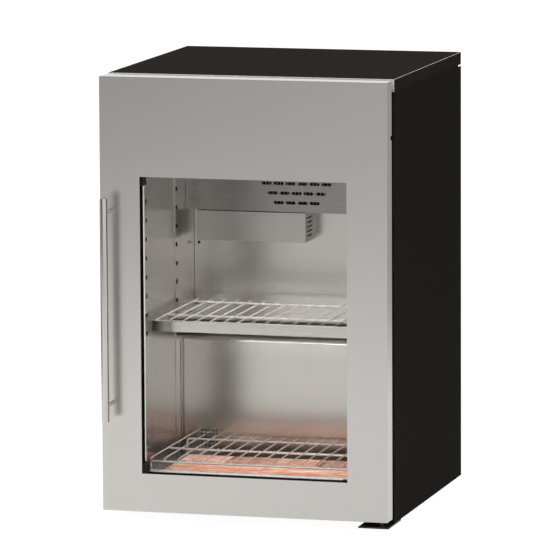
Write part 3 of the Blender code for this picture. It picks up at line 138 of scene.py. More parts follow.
# The gasket's outline: how far each point stands out, and its share of the depth
GASKET_OUTLINE = ((0.001, 0.0), (0.004, 0.10), (0.002, 0.24), (0.0055, 0.38), (0.0015, 0.52), (0.001, 0.66),
                  (0.0, 0.80), (0.0006, 0.97), (0.0016, 1.0), (0.0144, 1.0), (0.0154, 0.97), (0.016, 0.80),
                  (0.015, 0.66), (0.0145, 0.52), (0.0105, 0.38), (0.014, 0.24), (0.012, 0.10), (0.015, 0.0))

# Places and numbers of the studio
FLOOR_SPAN = ((-9.0, 9.0), (-9.0, 16.0))
CAMERA_PLACE = (2.92594, -10.43923, 2.02747)
CAMERA_TURN = (81.81035, 0.30038, 15.62804)
CAMERA_LENS = 340.768
# Each lamp: its name, its power's setting, its width, its place and what it is turned to
LAMPS = (("key_light", "key_power", 2.6, (-2.3, -3.6, 3.0), (0, 0, 0.5)),
         ("fill_light", "fill_power", 2.2, (3.4, -1.6, 2.2), (0, 0, 0.45)),
         ("cavity_light", "cavity_power", 0.26, (0, -0.04, 0.725), (0, -0.04, 0)),
         ("shelf_glow", "glow_power", 0.40, (0.05, -0.10, 0.366), (0.05, 0.08, 0.325)))
GLOW_HEIGHT = 0.016
GLOW_SPREAD = 28

Length = partial(FloatProperty, unit="LENGTH")
Colour = partial(FloatVectorProperty, subtype="COLOR")


class CabinetSizes(PropertyGroup):
    """Sizes of the finely made pieces."""

    door_fold: Length(name="Door Fold", description="Radius of the door skin's folded edges", default=0.0008)
    sheet_edge: Length(name="Sheet Edge", description="Radius on the edges of thin sheet", default=0.0003)
    lid_edge: Length(name="Lid Edge", description="Radius on the edges of the lid", default=0.0011)
    liner_corner: Length(name="Liner Corner", description="Radius in the liner's corners", default=0.0008)
    handle_end: Length(name="Handle End", description="Radius on the ends of the handle", default=0.0018)
    wire_bend: Length(name="Wire Bend", description="Bend radius of the lower rack's legs", default=0.006)
    wire_sides: IntProperty(name="Wire Sides", description="Faces round one wire", default=12, min=6)
    brick_edge: Length(name="Brick Edge", description="Rounding on the salt bricks", default=0.0022)
    brick_chips: Length(name="Brick Chips", description="Unevenness of the salt bricks", default=0.0007)
    screw_head: Length(name="Screw Head", description="Diameter of the back's screws", default=0.0078)


class CabinetColours(PropertyGroup):
    """Colours of the finishes and the light of the studio."""

    paint: Colour(name="Black Paint", description="Casing", default=(0.0097, 0.0085, 0.0076))
    lid_paint: Colour(name="Lid Paint", description="Lid", default=(0.0150, 0.0120, 0.0100))
    # Paler paint on the edges: partly wear and partly a painted edge highlight
    worn_paint: Colour(name="Worn Paint", description="Rubbed edges", default=(0.040, 0.038, 0.035))
    steel: Colour(name="Stainless Steel", description="Brushed sheet", default=(0.60, 0.58, 0.555))
    wire: Colour(name="Bright Wire", description="Wire of the racks", default=(0.92, 0.905, 0.885))
    aluminium: Colour(name="Aluminium", description="Fins and tubes", default=(0.70, 0.70, 0.70))
    copper: Colour(name="Copper", description="Refrigerant pipes", default=(0.62, 0.27, 0.15))
    rubber: Colour(name="Black Rubber", description="Gasket and keys", default=(0.010, 0.010, 0.010))
    dark_plastic: Colour(name="Black Plastic", description="Feet and shroud", default=(0.014, 0.014, 0.014))
    # Near-black: the pane spacer's own black, and painted shade on the strips behind slots and in gaps
    deep_black: Colour(name="Deep Black", description="Behind the slots", default=(0.0015, 0.0015, 0.0015))
    grey_plastic: Colour(name="Grey Plastic", description="Buttons and bushes", default=(0.30, 0.30, 0.29))
    display: Colour(name="Display", description="Glass of the display", default=(0.006, 0.006, 0.008))
    insulation: Colour(name="Insulation", description="Rigid foam", default=(0.72, 0.62, 0.38))
    salt_orange: Colour(name="Orange Salt", description="Front bricks", default=(0.80, 0.26, 0.125))
    salt_pale: Colour(name="Pale Salt", description="Palest brick", default=(0.68, 0.34, 0.23))
    salt_tan: Colour(name="Tan Salt", description="Tan brick", default=(0.52, 0.23, 0.12))
    salt_red: Colour(name="Red Salt", description="Dark red bricks", default=(0.30, 0.085, 0.055))
    salt_vein: Colour(name="Salt Vein", description="Clouds and veins", default=(0.93, 0.77, 0.67))
    floor: Colour(name="Floor", description="Pale studio floor", default=(0.86, 0.86, 0.86))
    key_power: FloatProperty(name="Key Light", description="Large light in front", default=180.0)
    fill_power: FloatProperty(name="Fill Light", description="Light on the hinge side", default=25.0)
    cavity_power: FloatProperty(name="Cavity Light", description="Light in the cavity", default=5.0)
    glow_power: FloatProperty(name="Shelf Glow", description="Strip below the shelf", default=0.07)
    ambient: FloatProperty(name="Ambient", description="Strength of the air's even light", default=1.0)
    front_air: FloatProperty(name="Front Air", description="What gloss shows in front", default=0.37)
    left_air: FloatProperty(name="Left Air", description="What gloss shows at the left", default=0.12)
    side_air: FloatProperty(name="Side Air", description="What gloss shows at the right", default=0.36)


def sizes():
    """Gives the sizes that the user may change."""
    return bpy.context.scene.cabinet_sizes


def colours():
    """Gives the colours and light levels that the user may change."""
    return bpy.context.scene.cabinet_colours


# Node work

def put(tree, kind, inputs=None, **settings):
    """Adds a node and fills its inputs with numbers, colours or the outputs of other nodes."""
    made = tree.nodes.new(kind)
    for key, value in settings.items():
        setattr(made, key, value)
    fill(tree, made, inputs or {})
    return made


def fill(tree, made, inputs):
    """Fills a node's inputs with numbers, colours or the outputs of other nodes."""
    for key, value in inputs.items():
        if isinstance(value, bpy.types.NodeSocket):
            tree.links.new(value, made.inputs[key])
        else:
            made.inputs[key].default_value = value


def maths(tree, operation, first, second=0.5):
    """Adds a sum on two numbers and gives its result."""
    return put(tree, "ShaderNodeMath", {0: first, 1: second}, operation=operation).outputs[0]


def blend(tree, share, first, second):
    """Mixes two colours and gives the result."""
    made = put(tree, "ShaderNodeMix", {0: share, 6: first, 7: second}, data_type="RGBA")
    return made.outputs[2]


def vectors(tree, operation, first, second):
    """Adds a sum on two vectors and gives its result."""
    return put(tree, "ShaderNodeVectorMath", {0: first, 1: second}, operation=operation).outputs[0]


def ranged(tree, value, span, results=(0.0, 1.0), fall="LINEAR"):
    """Maps a number from one span to another, clamped, and gives the result."""
    made = put(tree, "ShaderNodeMapRange", interpolation_type=fall)
    fill(tree, made, {"Value": value, "From Min": span[0], "From Max": span[1], "To Min": results[0],
                      "To Max": results[1]})
    return made.outputs[0]


def cloud(tree, place, scale, detail=2.0, roughness=0.5, warp=0.0):
    """Adds a noise at a scale and gives its value."""
    made = put(tree, "ShaderNodeTexNoise", {"Vector": place, "Scale": scale, "Detail": detail,
                                           "Roughness": roughness, "Distortion": warp})
    return made.outputs["Fac"]


def swing(tree, value, amount):
    """Turns a noise from 0 to 1 into a number that swings about 0 by an amount."""
    return maths(tree, "MULTIPLY", maths(tree, "SUBTRACT", value, 0.5), amount)


def spot(tree):
    """Gives the place on the piece that an effect is drawn by."""
    return put(tree, "ShaderNodeTexCoord").outputs["Object"]


def shaded(tree, value, amount):
    """Turns a noise into a number that swings about 1 by an amount."""
    return maths(tree, "ADD", swing(tree, value, amount), 1.0)


def start_group(name, inputs, outputs):
    """Starts a shader node group with named inputs (name, kind, default) and outputs (name, kind)."""
    made = bpy.data.node_groups.new(name, "ShaderNodeTree")
    for label, kind, value in inputs:
        socket = made.interface.new_socket(name=label, in_out="INPUT", socket_type=kind)
        socket.default_value = value
    for label, kind in outputs:
        made.interface.new_socket(name=label, in_out="OUTPUT", socket_type=kind)
    entry = made.nodes.new("NodeGroupInput")
    close = made.nodes.new("NodeGroupOutput")
    return made, entry.outputs, close


def tinted(tree, colour, shade):
    """Multiplies a colour by a number."""
    return put(tree, "ShaderNodeVectorMath", {0: colour, "Scale": shade}, operation="SCALE").outputs[0]


COLOUR, NUMBER, ARROW = "NodeSocketColor", "NodeSocketFloat", "NodeSocketVector"
SURFACE = (("Colour", COLOUR), ("Roughness", NUMBER), ("Height", NUMBER))


def brushed_group():
    """Makes the effect of fine brushing, drawn out along one axis, under faint soft clouds."""
    tree, given, close = start_group("Brushed Grain", (
        ("Colour", COLOUR, (0.6, 0.6, 0.6, 1)), ("Stretch", ARROW, ALONG["Z"]), ("Tone", NUMBER, 0.06),
        ("Clouds", NUMBER, 0.03), ("Roughness", NUMBER, 0.3), ("Spread", NUMBER, 0.08)), SURFACE)
    place = spot(tree)
    fine = cloud(tree, vectors(tree, "MULTIPLY", place, given["Stretch"]), 1.0, 3.0, 0.65)
    shade = maths(tree, "ADD", swing(tree, fine, given["Tone"]),
                  swing(tree, cloud(tree, place, 7.0, 2.0), given["Clouds"]))
    shade = maths(tree, "ADD", shade, 1.0)
    rough = maths(tree, "ADD", swing(tree, fine, given["Spread"]), given["Roughness"])
    smudge = swing(tree, cloud(tree, place, 34.0, 3.0), maths(tree, "MULTIPLY", given["Spread"], 0.5))
    fill(tree, close, {"Colour": tinted(tree, given["Colour"], shade), "Height": fine,
                       "Roughness": maths(tree, "ADD", rough, smudge)})
    return tree


def powder_group():
    """Makes the effect of powder coat: fine orange peel, faint mottling and paler edges, which are partly
    wear and partly a painted edge highlight.
    """
    tree, given, close = start_group("Powder Coat", (
        ("Colour", COLOUR, (0.01, 0.01, 0.01, 1)), ("Worn", COLOUR, (0.07, 0.07, 0.07, 1)),
        ("Scale", NUMBER, 700.0), ("Tone", NUMBER, 0.2), ("Edge", NUMBER, 0.0008),
        ("Roughness", NUMBER, 0.5)), SURFACE)
    place = spot(tree)
    mottle = cloud(tree, place, 26.0, 4.0, 0.6)
    plain = tinted(tree, given["Colour"], shaded(tree, mottle, given["Tone"]))
    # Paler edges by a bevel mask: partly wear and partly a painted highlight along the edges
    bevel = put(tree, "ShaderNodeBevel", {"Radius": given["Edge"]}, samples=4).outputs[0]
    upright = put(tree, "ShaderNodeNewGeometry").outputs["Normal"]
    product = put(tree, "ShaderNodeVectorMath", {0: bevel, 1: upright}, operation="DOT_PRODUCT")
    edge_unevenness = maths(tree, "MULTIPLY", cloud(tree, place, 60.0, 3.0), 1.2)
    edge_wear_and_sheen = maths(tree, "MULTIPLY", ranged(tree, product.outputs["Value"], (0.995, 0.86)), edge_unevenness)
    fill(tree, close, {"Colour": blend(tree, edge_wear_and_sheen, plain, given["Worn"]),
                       "Roughness": maths(tree, "ADD", swing(tree, mottle, 0.08), given["Roughness"]),
                       "Height": cloud(tree, place, given["Scale"], 1.0)})
    return tree


def cells(tree, place, scale):
    """Adds a cell pattern at a scale and gives the distance to each cell's middle."""
    return put(tree, "ShaderNodeTexVoronoi", {"Vector": place, "Scale": scale}).outputs["Distance"]


def moulded_group():
    """Makes the effect of moulded plastic or rubber: a leathery spark grain with faint flow marks."""
    tree, given, close = start_group("Moulded Grain", (
        ("Colour", COLOUR, (0.02, 0.02, 0.02, 1)), ("Scale", NUMBER, 900.0), ("Tone", NUMBER, 0.12),
        ("Roughness", NUMBER, 0.5)), SURFACE)
    place = spot(tree)
    flow = cloud(tree, place, 45.0, 3.0)
    fill(tree, close, {"Colour": tinted(tree, given["Colour"], shaded(tree, flow, given["Tone"])),
                       "Roughness": maths(tree, "ADD", swing(tree, flow, 0.12), given["Roughness"]),
                       "Height": cells(tree, place, given["Scale"])})
    return tree


def salt_group():
    """Makes the effect of cut rock salt: cloudy bands of tone, whitish veins and small pits."""
    tree, given, close = start_group("Rock Salt", (
        ("Deep", COLOUR, (0.4, 0.1, 0.05, 1)), ("Main", COLOUR, (0.7, 0.25, 0.12, 1)),
        ("Vein", COLOUR, (0.85, 0.65, 0.55, 1)), ("Scale", NUMBER, 1.0), ("Shift", ARROW, (0, 0, 0)),
        ("Veins", NUMBER, 1.0)), SURFACE)
    place = vectors(tree, "ADD", spot(tree), given["Shift"])
    drawn = vectors(tree, "MULTIPLY", place, (0.55, 1.5, 1.0))
    sized = tinted(tree, drawn, given["Scale"])
    bands = cloud(tree, sized, 24.0, 5.0, 0.62, 1.6)
    wisps = cloud(tree, sized, 62.0, 6.0, 0.68, 2.4)
    body = blend(tree, ranged(tree, bands, (0.36, 0.54)), given["Deep"], given["Main"])
    ridge = maths(tree, "ABSOLUTE", maths(tree, "SUBTRACT", wisps, 0.5))
    vein = maths(tree, "MULTIPLY", ranged(tree, ridge, (0.055, 0.0)), 0.75)
    white = maths(tree, "MAXIMUM", vein, ranged(tree, bands, (0.50, 0.64)))
    white = maths(tree, "MULTIPLY", white, given["Veins"])
    pits = cloud(tree, place, 420.0, 4.0, 0.7)
    fill(tree, close, {"Colour": blend(tree, white, body, given["Vein"]), "Height": pits,
                       "Roughness": maths(tree, "ADD", swing(tree, pits, 0.3), 0.42)})
    return tree


def foam_group():
    """Makes the effect of rigid foam: fine cells and uneven tone."""
    tree, given, close = start_group("Foam Cells", (
        ("Colour", COLOUR, (0.7, 0.6, 0.4, 1)), ("Scale", NUMBER, 500.0),
        ("Roughness", NUMBER, 0.9)), SURFACE)
    place = spot(tree)
    shade = shaded(tree, cloud(tree, place, 22.0, 4.0), 0.35)
    fill(tree, close, {"Colour": tinted(tree, given["Colour"], shade), "Roughness": given["Roughness"],
                       "Height": cells(tree, place, given["Scale"])})
    return tree


GROUP_MAKERS = {"Brushed Grain": brushed_group, "Powder Coat": powder_group, "Moulded Grain": moulded_group,
                "Rock Salt": salt_group, "Foam Cells": foam_group}


# Finishes

def surface(name, effect, values, shader_values, bump=0.1, reach=0.0002):
    """Gives the named material, made on first use from one effect's colour, roughness and height."""
    name = FINISH + name
    made = bpy.data.materials.get(name)
    if made:
        return made
    made = bpy.data.materials.new(name)
    made.use_nodes = True
    tree = made.node_tree
    grain = tree.nodes.new("ShaderNodeGroup")
    grain.node_tree = bpy.data.node_groups.get(effect) or GROUP_MAKERS[effect]()
    fill(tree, grain, values)
    relief = put(tree, "ShaderNodeBump", {"Strength": bump, "Distance": reach,
                                          "Height": grain.outputs["Height"]})
    fill(tree, tree.nodes["Principled BSDF"], {
        "Base Color": grain.outputs["Colour"], "Roughness": grain.outputs["Roughness"],
        "Normal": relief.outputs[0], **shader_values})
    return made


def full(colour):
    """Adds the fourth number that a colour socket takes."""
    return (*colour, 1.0)


def brushed(name, stretch, roughness, share=1.0, tone=0.012, spread=0.03):
    """Gives brushed stainless sheet with its own grain, at a share of the steel's brightness; a share below 1
    is painted shade.
    """
    values = {"Colour": full(tuple(channel * share for channel in colours().steel)), "Stretch": stretch,
              "Tone": tone, "Clouds": 0.012, "Roughness": roughness, "Spread": spread}
    return surface(name, "Brushed Grain", values, {"Metallic": 1.0}, 0.01, 0.00002)


def steel(along="Z", fine=False):
    """Gives brushed stainless steel with its grain along an axis."""
    name = f"brushed_steel_{along.lower()}" + ("_fine" if fine else "")
    return brushed(name, ALONG[along], 0.19 if fine else 0.23)


# Each plain finish: effect, colour, the effect's values, the shader's values, bump strength and bump reach
FINISHES = {
    "bright_wire": ("Brushed Grain", "wire", {"Stretch": (1800.0, 40.0, 1800.0), "Tone": 0.04,
                                              "Clouds": 0.04, "Roughness": 0.26, "Spread": 0.05},
                    {"Metallic": 0.78}, 0.02, 0.00003),
    "coil_aluminium": ("Brushed Grain", "aluminium", {"Stretch": ALONG["Z"], "Tone": 0.10, "Clouds": 0.10,
                                                      "Roughness": 0.36, "Spread": 0.12},
                       {"Metallic": 1.0}, 0.05, 0.0001),
    "copper_pipe": ("Brushed Grain", "copper", {"Stretch": (120.0, 120.0, 120.0), "Tone": 0.25,
                                                "Clouds": 0.3, "Roughness": 0.34, "Spread": 0.18},
                    {"Metallic": 1.0}, 0.04, 0.0001),
    "black_powder_coat": ("Powder Coat", "paint",
                          {"Scale": 900.0, "Tone": 0.25, "Edge": 0.0007, "Roughness": 0.55},
                          {"Specular IOR Level": 0.003}, 0.05, 0.0001),
    # The lid's wider pale edge band is a painted highlight along its edges
    "lid_powder_coat": ("Powder Coat", "lid_paint",
                        {"Scale": 900.0, "Tone": 0.25, "Edge": 0.0012, "Roughness": 0.60},
                        {"Specular IOR Level": 0.001}, 0.05, 0.0001),
    "black_shell_paint": ("Powder Coat", "dark_plastic",
                          {"Scale": 500.0, "Tone": 0.2, "Edge": 0.0009, "Roughness": 0.34},
                          {"Specular IOR Level": 0.45}, 0.06, 0.00015),
    "black_rubber": ("Moulded Grain", "rubber", {"Scale": 1300.0, "Tone": 0.25, "Roughness": 0.72},
                     {"Specular IOR Level": 0.25}, 0.10, 0.0001),
    "black_plastic": ("Moulded Grain", "dark_plastic", {"Scale": 1000.0, "Tone": 0.15, "Roughness": 0.5},
                      {"Specular IOR Level": 0.4}, 0.08, 0.0001),
    # Near-black finish: the spacer's own black, and painted shade on the strips behind slots and in gaps
    "deep_black": ("Moulded Grain", "deep_black", {"Scale": 1300.0, "Tone": 0.25, "Roughness": 0.8},
                   {"Specular IOR Level": 0.04}, 0.08, 0.0001),
    "grey_plastic": ("Moulded Grain", "grey_plastic", {"Scale": 1000.0, "Tone": 0.08, "Roughness": 0.46},
                     {}, 0.08, 0.0001),
    "display_glass": ("Moulded Grain", "display", {"Scale": 60.0, "Tone": 0.1, "Roughness": 0.06},
                      {"Coat Weight": 1.0, "Coat Roughness": 0.03}, 0.0, 0.0002),
    "insulation_foam": ("Foam Cells", "insulation", {"Scale": 600.0, "Roughness": 0.92},
                        {"Specular IOR Level": 0.2}, 0.5, 0.0004),
}


def finish(name):
    """Gives one of the plain finishes."""
    effect, colour, values, shader_values, bump, reach = FINISHES[name]
    wear_and_sheen = {"Worn": full(colours().worn_paint)} if effect == "Powder Coat" else {}
    values = {"Colour": full(getattr(colours(), colour)), **wear_and_sheen, **values}
    return surface(name, effect, values, shader_values, bump, reach)


def salt(tone, shift):
    """Gives rock salt in one of its tones, with its own stretch of marbling."""
    colour = getattr(colours(), f"salt_{tone}")
    deep = tuple(channel * share for channel, share in zip(colour, (0.70, 0.48, 0.42)))
    strength = {"orange": 1.0, "pale": 1.0, "tan": 0.7, "red": 0.5}[tone]
    values = {"Deep": full(deep), "Main": full(colour), "Vein": full(colours().salt_vein), "Scale": 1.0,
              "Shift": (shift * 1.7, shift * 0.9, shift * 0.4), "Veins": strength}
    settings = {"Subsurface Weight": 0.25, "Subsurface Radius": (0.012, 0.005, 0.003),
                "Subsurface Scale": 0.6, "Specular IOR Level": 0.4}
    return surface(f"salt_{tone}_{shift}", "Rock Salt", values, settings, 0.35, 0.0004)


def glass():
    """Gives clear pane glass that lets lamplight through and carries faint wiping marks."""
    made = bpy.data.materials.get(FINISH + "pane")
    if made:
        return made
    made = bpy.data.materials.new(FINISH + "pane")
    made.use_nodes = True
    tree = made.node_tree
    shader = tree.nodes["Principled BSDF"]
    place = spot(tree)
    marks = cloud(tree, place, 9.0, 3.0)
    tint = blend(tree, marks, (0.985, 0.985, 0.98, 1), (0.995, 0.995, 0.99, 1))
    fill(tree, shader, {"Base Color": tint, "Roughness": 0.0, "IOR": 1.05, "Transmission Weight": 1.0})
    path = put(tree, "ShaderNodeLightPath").outputs
    clear = put(tree, "ShaderNodeBsdfTransparent", {"Color": (0.985, 0.985, 0.98, 1)}).outputs[0]
    unseen = maths(tree, "MAXIMUM", path["Is Shadow Ray"], path["Is Diffuse Ray"])
    mirrored = maths(tree, "SUBTRACT", path["Is Glossy Ray"], path["Is Transmission Ray"])
    unseen = maths(tree, "MAXIMUM", unseen, mirrored)
    mixed = put(tree, "ShaderNodeMixShader", {0: unseen, 1: shader.outputs[0], 2: clear}).outputs[0]
    fill(tree, tree.nodes["Material Output"], {"Surface": mixed})
    return made


# Shape work

def spans(node):
    """Gives a CAD node's low and high along X, Y and Z."""
    low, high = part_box(node)
    return tuple((low[axis], high[axis]) for axis in range(3))


def grown(span, amount):
    """Widens a span at both ends."""
    return (span[0] - amount, span[1] + amount)


def about(centre, size):
    """Gives the span of a size about its centre."""
    return (centre - size / 2, centre + size / 2)


def middle(span):
    """Gives the middle of a span."""
    return (span[0] + span[1]) / 2


def quarter(steps):
    """Lists the angles of a quarter turn in even steps."""
    return [math.pi / 2 * step / steps for step in range(steps + 1)]


def linked(name, shape):
    """Puts a shape into the scene as an object, and frees the shape."""
    made = bpy.data.objects.new(name, bpy.data.meshes.new(name))
    shape.to_mesh(made.data)
    shape.free()
    bpy.context.scene.collection.objects.link(made)
    return made


def piece(name, shape, material, *stands_for, body=None, slot=None, weighted=False):
    """Puts a shape into the scene as a piece that rides on its body and stands for CAD nodes."""
    bmesh.ops.recalc_face_normals(shape, faces=shape.faces)
    made = linked(name, shape)
    made.data.materials.append(material)
    made.data.shade_smooth()
    made.data.set_sharp_from_angle(angle=SHARP_ANGLE)
    if weighted:
        made.modifiers.new("Even Shading", "WEIGHTED_NORMAL").keep_sharp = True
    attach(made, body or BODY_OF[stands_for[0]])
    if stands_for:
        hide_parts(*stands_for)


def eased(node, material, radius):
    """Copies a CAD node's shape with its edges rounded, and stands in for the node."""
    shape = bmesh.new()
    shape.from_mesh(frame["nodes"][node].data)
    bmesh.ops.remove_doubles(shape, verts=shape.verts, dist=1e-6)
    bmesh.ops.dissolve_limit(shape, angle_limit=math.radians(1.5), verts=shape.verts, edges=shape.edges)
    sharp = [edge for edge in shape.edges if edge.is_manifold and edge.calc_face_angle() > math.radians(30)]
    bmesh.ops.bevel(shape, geom=sharp, offset=radius, segments=2, profile=0.5, affect="EDGES",
                    clamp_overlap=True)
    piece(node + "_sheet", shape, material, node, weighted=True)


def add_box(shape, x, y, z):
    """Adds a box between the low and high of each span."""
    place = Matrix.Translation((middle(x), middle(y), middle(z)))
    size = Matrix.Diagonal((x[1] - x[0], y[1] - y[0], z[1] - z[0], 1))
    bmesh.ops.create_cube(shape, size=1, matrix=place @ size)


def boxed(x, y, z):
    """Makes a plain box."""
    shape = bmesh.new()
    add_box(shape, x, y, z)
    return shape


def rounded_box(x, y, z, radius, segments=3):
    """Makes a box with all its edges rounded."""
    shape = boxed(x, y, z)
    bmesh.ops.bevel(shape, geom=list(shape.edges), offset=radius, segments=segments, profile=0.5,
                    affect="EDGES")
    return shape


def prism(points, along):
    """Makes a closed shape from a flat outline drawn out along a vector."""
    shape = bmesh.new()
    face = shape.faces.new([shape.verts.new(point) for point in points])
    raised = bmesh.ops.extrude_face_region(shape, geom=[face])["geom"]
    moved = [item for item in raised if isinstance(item, bmesh.types.BMVert)]
    bmesh.ops.translate(shape, verts=moved, vec=along)
    return shape


def add_rod(shape, start, end, diameter, steps=24):
    """Adds a closed round bar from one point to another."""
    start = Vector(start)
    along = Vector(end) - start
    place = Matrix.Translation(start + along / 2) @ along.to_track_quat("Z", "Y").to_matrix().to_4x4()
    bmesh.ops.create_cone(shape, cap_ends=True, segments=steps, radius1=diameter / 2, radius2=diameter / 2,
                          depth=along.length, matrix=place)


def turned(profile, centre, axis, steps=32):
    """Makes a profile of (radius, height) points spun about an axis through a centre."""
    shape = bmesh.new()
    corners = [shape.verts.new((radius, 0, height)) for radius, height in profile]
    edges = [shape.edges.new(pair) for pair in zip(corners, corners[1:])]
    bmesh.ops.spin(shape, geom=corners + edges, cent=(0, 0, 0), axis=(0, 0, 1), angle=math.tau,
                   steps=steps, use_merge=True, use_duplicate=False)
    bmesh.ops.remove_doubles(shape, verts=shape.verts, dist=1e-6)
    turn = Matrix.Translation(centre) @ Vector(axis).to_track_quat("Z", "Y").to_matrix().to_4x4()
    bmesh.ops.transform(shape, matrix=turn, verts=shape.verts)
    return shape


def add_shape(shape, other, place=None):
    """Adds another shape's faces to a shape, moved to a place, and frees the other if it isn't placed."""
    mesh = bpy.data.meshes.new("helper")
    other.to_mesh(mesh)
    before = len(shape.verts)
    shape.from_mesh(mesh)
    bpy.data.meshes.remove(mesh)
    if place is None:
        other.free()
    else:
        shape.verts.ensure_lookup_table()
        bmesh.ops.transform(shape, matrix=place, verts=shape.verts[before:])


def settled(made, *helpers):
    """Gives an object's shape with its modifiers applied, and takes it and its helpers away."""
    bpy.context.view_layer.update()
    mesh = bpy.data.meshes.new_from_object(made.evaluated_get(bpy.context.evaluated_depsgraph_get()))
    result = bmesh.new()
    result.from_mesh(mesh)
    bpy.data.meshes.remove(mesh)
    for used in (made, *helpers):
        data = used.data
        bpy.data.objects.remove(used)
        bpy.data.meshes.remove(data)
    return result


def carved(shape, cutters):
    """Cuts closed shapes out of a closed shape and gives the result."""
    made = linked("blank", shape)
    tools = []
    for cutter in cutters:
        bmesh.ops.recalc_face_normals(cutter, faces=cutter.faces)
        tools.append(linked("cutter", cutter))
        cut = made.modifiers.new("Cut", "BOOLEAN")
        cut.operation, cut.solver, cut.object = "DIFFERENCE", "EXACT", tools[-1]
    return settled(made, *tools)


def rounded_loop(x, z, y, radius, steps=4):
    """Lists the points of an upright rounded rectangle at one depth."""
    corners = ((x[1], z[1], -1, -1), (x[0], z[1], 1, -1), (x[0], z[0], 1, 1), (x[1], z[0], -1, 1))
    points = []
    for turn, (corner_x, corner_z, inward_x, inward_z) in enumerate(corners):
        for step in range(steps + 1):
            angle = math.pi / 2 * (turn + step / steps)
            points.append(Vector((corner_x + inward_x * radius + radius * math.cos(angle), y,
                                  corner_z + inward_z * radius + radius * math.sin(angle))))
    return points


def join_rows(shape, rows):
    """Joins rows of corners, each closed in a ring, with faces."""
    for near, far in zip(rows, rows[1:]):
        for step in range(len(near)):
            follow = (step + 1) % len(near)
            shape.faces.new((near[step], near[follow], far[follow], far[step]))


def ring_shape(loops):
    """Joins matching loops into one closed ring."""
    shape = bmesh.new()
    rows = [[shape.verts.new(point) for point in loop] for loop in loops]
    join_rows(shape, rows + rows[:1])
    return shape


def framed(x, z, profile, radius=0.002):
    """Sweeps a closed profile of (outward, y) points round an upright rectangle."""
    return ring_shape([rounded_loop(grown(x, out), grown(z, out), y, radius + out) for out, y in profile])


def bent(points, radius, steps=6):
    """Rounds the inner corners of a path."""
    points = [Vector(point) for point in points]
    path = [points[0]]
    for before, here, after in zip(points, points[1:], points[2:]):
        back, on = (before - here).normalized(), (after - here).normalized()
        half = back.angle(on) / 2
        reach = radius / math.tan(half)
        hub = here + (back + on).normalized() * radius / math.sin(half)
        start, end = (here + back * reach - hub).normalized(), (here + on * reach - hub).normalized()
        for step in range(steps + 1):
            path.append(hub + start.slerp(end, step / steps) * radius)
    return path + [points[-1]]


def add_wire(shape, points, diameter, sides=12, dome=3):
    """Adds a round wire along a path, with domed ends."""
    points = [Vector(point) for point in points]
    radius = diameter / 2
    tangents = [(after - before).normalized()
                for before, after in zip([points[0]] + points[:-1], points[1:] + [points[-1]])]
    first, last = tangents[0], tangents[-1]
    rise = [(radius * (1 - math.cos(angle)), radius * math.sin(angle)) for angle in quarter(dome)[1:-1]]
    middles = [(points[0] + first * radius, first), *zip(points[1:-1], tangents[1:-1]),
               (points[-1] - last * radius, last)]
    stations = [(points[0] + first * back, first, reach) for back, reach in rise]
    stations += [(place, tangent, radius) for place, tangent in middles]
    stations += [(points[-1] - last * back, last, reach) for back, reach in reversed(rise)]
    side = first.orthogonal().normalized()
    rows = []
    for place, tangent, reach in stations:
        side = (side - tangent * side.dot(tangent)).normalized()
        other = tangent.cross(side)
        rows.append([shape.verts.new(place + (side * math.cos(math.tau * step / sides)
                                              + other * math.sin(math.tau * step / sides)) * reach)
                     for step in range(sides)])
    join_rows(shape, rows)
    shape.faces.new(rows[0][::-1])
    shape.faces.new(rows[-1])


def fine_box(x, y, z, radius, pitch):
    """Makes a box of small faces whose edges are rounded."""
    low, high = Vector((x[0], y[0], z[0])), Vector((x[1], y[1], z[1]))
    stops = []
    for axis in range(3):
        inner = (low[axis] + radius, high[axis] - radius)
        count = max(1, round((inner[1] - inner[0]) / pitch))
        row = [low[axis], low[axis] + radius * 0.4]
        row += [inner[0] + (inner[1] - inner[0]) * step / count for step in range(count + 1)]
        stops.append(row + [high[axis] - radius * 0.4, high[axis]])
    shape = bmesh.new()
    for axis in range(3):
        first, second = (axis + 1) % 3, (axis + 2) % 3
        for level in (low[axis], high[axis]):
            grid = []
            for u in stops[first]:
                line = []
                for v in stops[second]:
                    place = Vector((0, 0, 0))
                    place[axis], place[first], place[second] = level, u, v
                    line.append(shape.verts.new(place))
                grid.append(line)
            for near, far in zip(grid, grid[1:]):
                for step in range(len(near) - 1):
                    shape.faces.new((near[step], near[step + 1], far[step + 1], far[step]))
    bmesh.ops.remove_doubles(shape, verts=shape.verts, dist=1e-6)
    for vert in shape.verts:
        core = Vector([min(max(vert.co[axis], low[axis] + radius), high[axis] - radius) for axis in range(3)])
        off = vert.co - core
        if off.length > 1e-9:
            vert.co = core + off.normalized() * radius
    return shape


def shade_and_seam_strips(name, boxes, material="deep_black", radius=SHADE_STRIP_EDGE):
    """Puts thin dark strips behind slots and in joints, as one piece of the cabinet's body: painted shade in
    gaps and behind slots, and real dark seams.
    """
    shape = bmesh.new()
    for x, y, z in boxes:
        add_shape(shape, rounded_box(x, y, z, radius, 2))
    piece(name, shape, finish(material), **DARK_BACK)


def window():
    """Gives the spans of the door's window along X and Z."""
    x, _, z = spans("glass_spacer")
    return grown(x, -PANE_EDGE), grown(z, -PANE_EDGE)


# The casing

